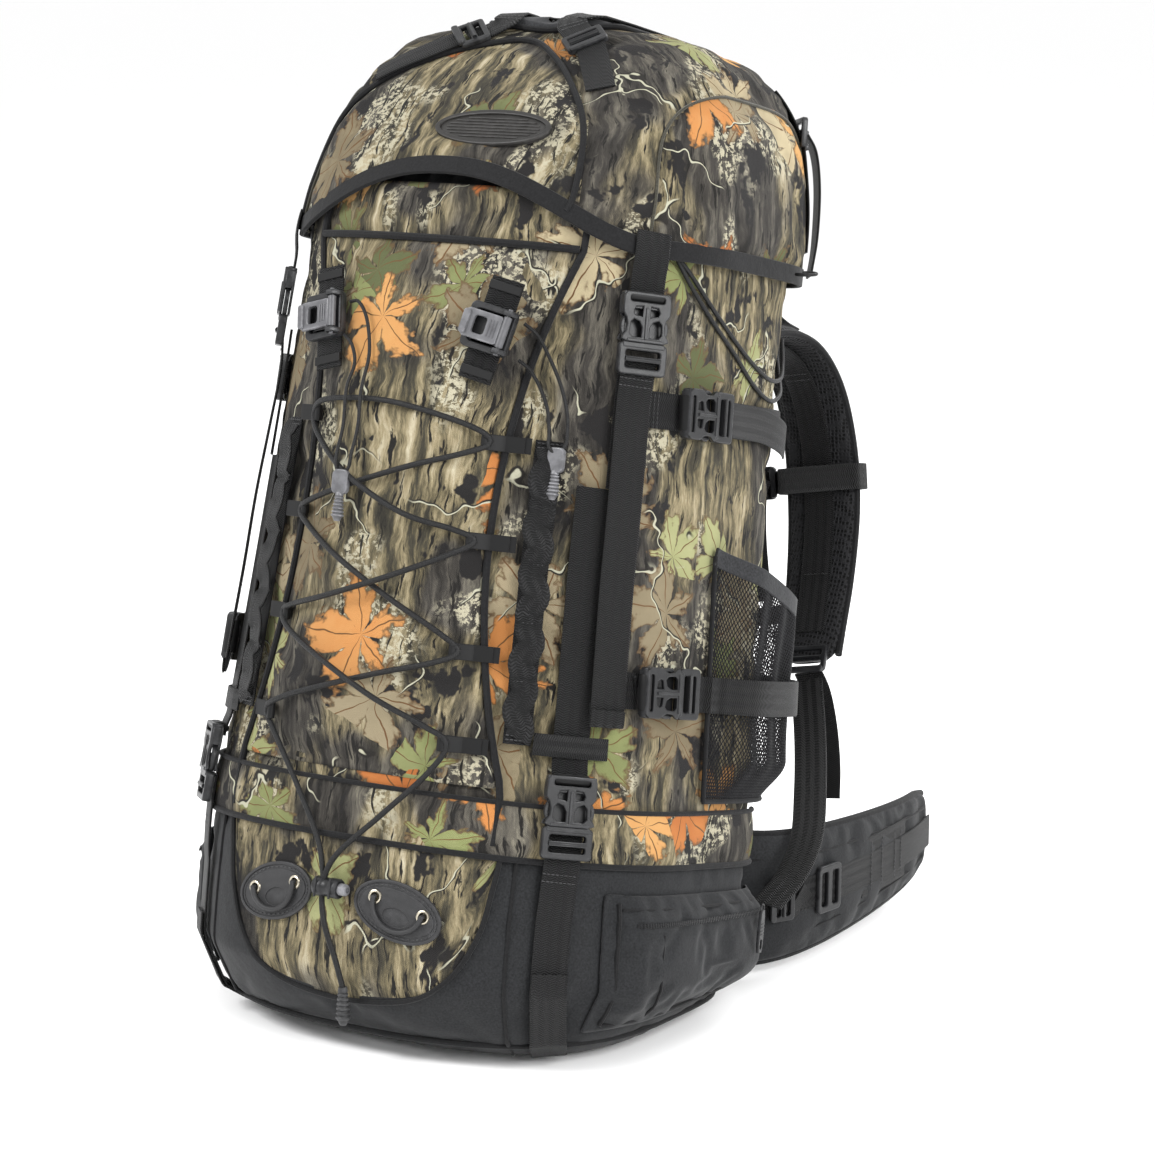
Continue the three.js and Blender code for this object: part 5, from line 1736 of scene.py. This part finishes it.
def sternum_strap(side, hand):
    body = f"sternum_strap_{hand}"
    pad_rows = [Vector((x * side, y, z)) for x, y, z in PAD_ROUTE]
    above, below = pad_rows[5], pad_rows[6]
    up = (above - below).normalized()
    out = Vector((1, 0, 0)).cross(up).normalized()
    frame_at = Matrix((up.cross(out), up, out)).transposed().to_4x4()
    frame_at.translation = above.lerp(below, 0.5)
    loop = []
    for n in range(41):
        a = 2 * math.pi * n / 40
        x = 35 * math.copysign(abs(math.cos(a)) ** 0.35, math.cos(a))
        z = 10.4 * math.copysign(abs(math.sin(a)) ** 0.35, math.sin(a))
        loop.append((Vector((x, 0, z)), Vector((x / 35, 0, z / 10.4)).normalized()))
    sleeve = band(loop, 20, 1.8)
    build(f"sternum_sleeve_{hand}", moved(sleeve[:2], frame_at), WEB, body, sleeve[2], [body])
    reach = -side
    line = [Vector((reach * x, 0, -0.6 * math.sin(x / 9))) for x in np.linspace(33, 60, 12)]
    arm = band([(point, Vector((0, 0, 1))) for point in line],
               18, 1.8)
    build(f"sternum_arm_{hand}", moved(arm[:2], frame_at), WEB, body, arm[2])
    lock = moved(ladder_lock(18), shift(reach * 52, 0, -2) @ Matrix.Rotation(math.pi / 2, 4, "Z"))
    build(f"sternum_lock_{hand}", moved(lock, frame_at), PLASTIC, body)
    hang = [(Vector((reach * x, y, z)), Vector((0, 0.1, 1))) for x, y, z in
            ((50, 4, 5), (54, -6, 6), (56, -24, 6.5), (57, -48, 6), (57, -76, 4), (56, -92, 3))]
    tail = band(fine_stops(hang, 4), 17, 1.5)
    build(f"sternum_tail_{hand}", moved(tail[:2], frame_at), WEB, body, tail[2])


def wing_stops(side):
    last = len(WING_ROUTE) - 1
    stops = []
    for n, (x, y) in enumerate(WING_ROUTE):
        x0, y0 = WING_ROUTE[max(n - 1, 0)]
        x1, y1 = WING_ROUTE[min(n + 1, last)]
        out = Vector((side * (y1 - y0), x0 - x1, 0)).normalized()
        stops.append((Vector((side * x, y, 62 - 8 * n / last)), out))
    return stops


def hip_wing(side, hand):
    """A moulded hip fin with a mesh lining, bound edges, a sewn webbing panel and its buckle."""
    body = f"hip_wing_{hand}"
    path = fine_stops(wing_stops(side), 6)

    def height(share):
        return 105 - 43 * share - 6 * smooth((share - 0.9) / 0.1)

    vertices, faces, spots = pad(path, height, 12.5, 36, 0.05)
    piece = build(f"hip_pad_{hand}", (vertices, faces), BASE_CLOTH, body, replaces=[body])

    def held(n, point):
        if n >= len(spots):
            return 1.0
        u, share = spots[n]
        edge = abs(u) > 0.92 or share < 0.03 or share > 0.97
        across = near_line(share, 0.34, 0.012) or near_line(share, 0.7, 0.012)
        channel = near_line(u * 0.5, 0.22, 0.03) or across
        return 1.0 if edge or channel else 0.0

    soften(piece, held, pressure=5.0, growth=0.03, outward=3.0, inward=1.5)
    FINISH.append((piece, 0, 1))
    inner = [(point - out * 6.6, out * -1) for point, out in path[2:-2]]
    lining = band(inner, lambda share: height(share) - 16, 1.6)
    build(f"hip_lining_{hand}", lining[:2], AIR_MESH, body)
    for edge, label in ((1, "low"), (-1, "high")):
        line = edge_line(path, lambda share: height(share) - 2, edge)[1:-1]
        build(f"hip_binding_{label}_{hand}", tube(line, 6), BINDING, body)
    for label, gap in (("top", 0.62), ("bottom", -0.62)):
        line = edge_line(path, lambda share: height(share) * gap, -1, 0)[3:-3]
        outs = [out for _, out in path][3:-3]
        seam = tube([p + o * 6.4 for p, o in zip(line, outs)], 2.4, 6)
        build(f"hip_seam_{label}_{hand}", seam, BINDING, body)
    web = lifted(path, 8.6, 0.16, 0.97)
    strap_piece(f"hip_webbing_{hand}", web, 25, 1.8, body)
    panel = [(point + Vector((0, 0, 2)), out) for point, out in lifted(path, 7.7, 0.52, 0.76)]
    strap_piece(f"hip_panel_{hand}", panel, 46, 1.6, body)
    cross = []
    for n, share in enumerate((0.56, 0.62, 0.68, 0.73)):
        point, out = path[int(share * (len(path) - 1))]
        ahead = (path[int(share * (len(path) - 1)) + 1][0] - point).normalized()
        frame_at = Matrix((ahead.cross(out), ahead, out)).transposed().to_4x4()
        frame_at.translation = point + Vector((0, 0, 2))
        cross.append(stitches(frame_at, 42, 0, 9.6, 1))
    build(f"hip_stitching_{hand}", merge(*cross), THREAD, body)
    for label, share, wide in (("slide", 0.34, 25), ("lock", 0.2, 25)):
        point, out = path[int(share * (len(path) - 1))]
        ahead = (path[int(share * (len(path) - 1)) + 1][0] - point).normalized()
        frame_at = Matrix((ahead.cross(out), ahead, out)).transposed().to_4x4()
        frame_at.translation = point + out * 8
        shape = ladder_lock(wide)
        if label == "slide":
            slots = [rounded(26, 8, 2, 0, y) for y in (7, -7)]
            shape = plate(rounded(36, 30, 4), slots, 1.2, 5, 1.0)
        build(f"hip_{label}_{hand}", moved(shape, frame_at), PLASTIC, body)
    point, out = path[int(0.24 * (len(path) - 1))]
    drops = ((0, 0), (10, -8), (24, -20), (36, -28), (42, -30))
    fall = [(point + out * 11 + Vector((0, y, z)), out) for y, z in drops]
    strap_piece(f"hip_tail_{hand}", fine_stops(fall, 3), 24, 1.6, body)
    tip, before = wing_stops(side)[-1][0], wing_stops(side)[-2][0]
    ahead = tip - before
    ahead.z = 0
    ahead.normalize()
    along = ahead * side
    inward = Vector((-side * ahead.y, side * ahead.x, 0))
    frame_at = Matrix((along.cross(inward), along, inward)).transposed().to_4x4()
    frame_at.translation = tip + inward * 8.6 - ahead * (14 if side > 0 else 3)
    shape = male_buckle() if side > 0 else female_buckle()
    build(f"hip_clip_{hand}", moved(shape, frame_at), PLASTIC, body, replaces=[f"hip_buckle_{hand}"])
    at = -12 if side > 0 else 29.5
    web_end = -36 if side > 0 else 46
    flat = band([(Vector((0, y, 1.2)), Vector((0, 0, 1))) for y in np.linspace(at, web_end, 8)], WEBBING, 1.8)
    build(f"hip_clip_web_{hand}", moved(flat[:2], frame_at), WEB, body, flat[2])


def back_slab(name, half, low, high, near, thick, node, channels):
    """A foam pad on the back under spacer mesh, with pressed channels."""
    columns, rows = 44, 60

    def relief(u, v):
        body = rise(u, 0.10) ** 0.6 * rise(v, 0.05) ** 0.6
        groove = 1.0
        for axis, spot, wide, deep in channels:
            gap = abs((u if axis == "u" else v) - spot) / wide
            groove *= 1 - deep * (1 - smooth(gap))
        return body * groove

    def spot(u, v):
        height = lerp(low, high, v)
        corner = 1 - 0.05 * (1 - rise(v, 0.08))
        back = size_at(height)[2] + near + thick * relief(u, v) - 0.4
        return place((2 * u - 1) * half * corner, back, height)

    outer, _ = skin(rows, columns, lambda u, v: spot(1 - u, v), lambda u, v: (0, 0))
    piece = build(name, outer, AIR_MESH, replaces=[node])
    FINISH.append((piece, 2.0, 1))
    rim = [spot(u, 0) for u in np.linspace(0.03, 0.97, 24)]
    rim += [spot(1, v) for v in np.linspace(0.02, 0.98, 40)]
    rim += [spot(u, 1) for u in np.linspace(0.97, 0.03, 24)]
    rim += [spot(0, v) for v in np.linspace(0.98, 0.02, 40)]
    build(f"{name}_binding", tube(rim + rim[:1], 5.0), BINDING)


def haul_loop():
    half = [(-25, 0), (-25, 10), (-20, 20), (-8, 26)]
    arch = half + [(-x, far) for x, far in reversed(half)]
    foot = size_at(516)[2] + 21.5
    points = [place(x, foot + far, 516) for x, far in arch]
    up = (place(0, 0, 517) - place(0, 0, 516)).normalized()
    stops = []
    for n, point in enumerate(points):
        ahead = (points[min(n + 1, 7)] - points[max(n - 1, 0)]).normalized()
        stops.append((point, up.cross(ahead)))
    strap_piece("haul_webbing", fine_stops(stops, 2), 22, 2.4, replaces=["haul_loop"])


def load_lifters(side, hand):
    """Short straps from the bag's top down to the shoulder strap's crest."""
    start = place(66 * side, size_at(548)[2] + 3, 540)
    middle = start.lerp(Vector((74 * side, 322, 466)), 0.5) + Vector((0, 3, 8))
    stops = [start, middle, Vector((76 * side, 318, 468)), Vector((78 * side, 338, 459))]
    outs = [Vector((0, 0.55, 0.83))] * 3 + [Vector((0, 0.3, 0.95))]
    path = fine_stops(list(zip(stops, outs)), 4)
    solid = band(path, 20, 1.6)
    piece = build(f"load_lifter_{hand}", solid[:2], WEB, None, solid[2])
    metres(stops[0])
    metres(stops[2])
    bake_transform(piece)


def crown_straps():
    """Straps over the lid with their ladder locks and hanging tails."""
    rows = {
        "right": (-49, 4.75,
                  [(-49, 4.6, 3), (-49, 5.2, 2.4), (-46, 5.8, 6), (-25, 6.3, 7), (25, 6.1, 6.4),
                   (52, 5.4, 4), (60, 4.4, 3), (62, 3.2, 2.6), (63, 2.4, 2.6)],
                  [(-48, 4.5, 4.6), (-49, 4.1, 3.6), (-50, 3.6, 3.2), (-50.5, 3.1, 3.6)]),
        "left": (-133, 4.9,
                 [(-133, 4.8, 3), (-135, 5.3, 2.4), (-142, 5.8, 6), (-170, 6.2, 7), (-205, 6.1, 6.4),
                  (-232, 5.4, 4), (-240, 4.4, 3), (-242, 3.2, 2.6), (-243, 2.4, 2.6)],
                 [(-134, 4.6, 4.6), (-137, 4.1, 4), (-141, 3.6, 4), (-145, 3.1, 4.6)]),
    }
    for hand, (turn, along, route, hanging) in rows.items():
        path = lid_path(route)
        strap_piece(f"crown_strap_{hand}", path, 22, 1.8, "lid")
        strap_piece(f"crown_tail_{hand}", lid_path(hanging, 3), 21, 1.6, "lid")
        point, out = lid_point(turn, along, 2.2), lid_out(turn, along)
        up = (lid_point(turn, along + 0.3) - lid_point(turn, along - 0.3)).normalized()
        frame_at = Matrix((up.cross(out), up, out)).transposed().to_4x4()
        frame_at.translation = point
        build(f"crown_lock_{hand}", moved(ladder_lock(22), frame_at), PLASTIC, "lid")
        stitch_path(f"crown_stitching_{hand}", path, [30, 33], 22, "lid")
        side = 1 if hand == "right" else -1
        rear = turn_on(41, side)
        out = lid_out(rear, 2.6)
        frame_at = wall_frame(rear, 622, 10)
        frame_at.translation = lid_point(rear, 2.4, 2.6)
        build(f"rear_lock_{hand}", moved(ladder_lock(), frame_at), PLASTIC, "lid")
        patch = lid_path([(rear, along, lift) for along, lift in
                          ((3.4, 2.0), (2.8, 2.2), (2.3, 2.4), (1.2, 2.0), (0.5, 1.8))])
        strap_piece(f"rear_strap_{hand}", patch, 24, 1.6, "lid")
        falls = ((0, 2.4, 8), (2, 2.0, 12), (3, 1.4, 13), (4, 0.7, 12), (4, 0.2, 10))
        loose = [lid_point(rear + side * turn, along, lift) for turn, along, lift in falls]
        tail = fine_stops([(p, out) for p in loose], 3)
        strap_piece(f"rear_tail_{hand}", tail, 20, 1.6, "lid")
    base = lid_point(16, 0.15, 2.2)
    ahead, out = Vector((0, 1, 0)), lid_out(16, 0.2)
    points = []
    for n in range(25):
        a = math.pi * (1.5 * n / 24 - 0.25)
        points.append(base + out * (7.5 + 7.0 * math.sin(a)) + ahead * (7.0 * math.cos(a)))
    cord = cord_piece("hem_loop", points, 2.6, body="lid")
    declare_cord(points)


def zip_pull():
    frame_at = wall_frame(turn_behind(68, 92, 1), 92, 20)
    outline = [(-2.6, 1), (2.6, 1), (3.6, -6), (4, -24), (2.6, -29.5), (-2.6, -29.5), (-4, -24), (-3.6, -6)]
    body = plate(outline, [rounded(3.2, 7, 1.4, 0, -23.5)], -1.2, 1.2, 0.5)
    ribs = [tube([(-3, y, 1.1), (0, y, 1.5), (3, y, 1.1)], 0.9, 6) for y in (-9, -11.5, -14, -16.5)]
    eye = moved(ring(2.6, 1.3, steps=16), shift(0, 2.4, 0))
    build("zip_pull_tab", moved(merge(body, *ribs, eye), frame_at), PLASTIC, "cargo_zip_pull",
          replaces=["cargo_zip_pull"])


def refinish(node, look):
    """Gives a CAD solid that stays its node material."""
    holder = frame["nodes"][node]
    if not holder.material_slots:
        holder.data.materials.append(look.material)
    for slot in holder.material_slots:
        slot.material = look.material


base_skin()
base_patch()
storm_band()
lace_tabs()
cord_lock()
crown_straps()
haul_loop()
zip_pull()
back_slab("back_pad", 124, 161, 524, 6.6, 12.2, "back_panel",
          [("u", 0.5, 0.07, 0.6), ("v", 0.33, 0.02, 0.5), ("v", 0.66, 0.02, 0.5)])
back_slab("lumbar_cushion", 99, 41, 139, 1.4, 23, "lumbar_pad",
          [("u", 0.5, 0.12, 0.45), ("v", 0.5, 0.05, 0.2)])
for side, hand in ((1, "right"), (-1, "left")):
    net_pocket(side, hand)
    cargo_pocket(side, hand)
    corner_straps(side, hand)
    side_straps(side, hand)
    daisy_chain(side, hand)
    lever_clip(side, hand)
    gear_patch(side, hand)
    shoulder_strap(side, hand)
    lower_webbing(side, hand)
    sternum_strap(side, hand)
    hip_wing(side, hand)
    load_lifters(side, hand)
refinish("frame_sheet", FRAME_PLASTIC)
refinish("stay_left", ALUMINIUM)
refinish("stay_right", ALUMINIUM)


# ---------- stage ----------
def make_stage():
    """A pale floor that reaches the horizon and soft studio light."""
    mesh = bpy.data.meshes.new("floor")
    mesh.from_pydata([(-30, -30, 0), (30, -30, 0), (30, 30, 0), (-30, 30, 0)], [], [(0, 1, 2, 3)])
    pale = bpy.data.materials.new("floor")
    pale.use_nodes = True
    shader = pale.node_tree.nodes["Principled BSDF"]
    shader.inputs["Base Color"].default_value = (0.97, 0.97, 0.97, 1)
    shader.inputs["Roughness"].default_value = 0.9
    mesh.materials.append(pale)
    floor = bpy.data.objects.new("floor", mesh)
    bpy.context.scene.collection.objects.link(floor)
    world = bpy.data.worlds.new("studio")
    world.use_nodes = True
    world.node_tree.nodes["Background"].inputs[0].default_value = (1, 1, 1, 1)
    world.node_tree.nodes["Background"].inputs[1].default_value = 1.02
    bpy.context.scene.world = world
    bpy.context.scene.view_settings.view_transform = "Standard"
    for name, at, size, power in (
        ("key", (-1.6, -2.2, 2.6), 1.6, 110),
        ("side", (2.6, -0.9, 1.6), 1.4, 95),
        ("rear", (0.6, 2.6, 2.2), 1.8, 60),
    ):
        data = bpy.data.lights.new(name, "AREA")
        data.size = size
        data.energy = power
        light = bpy.data.objects.new(name, data)
        light.location = at
        light.rotation_euler = (LOOK_AT - Vector(at)).to_track_quat("-Z", "Y").to_euler()
        bpy.context.scene.collection.objects.link(light)


settle_cloth()
finish_cloth()
make_stage()
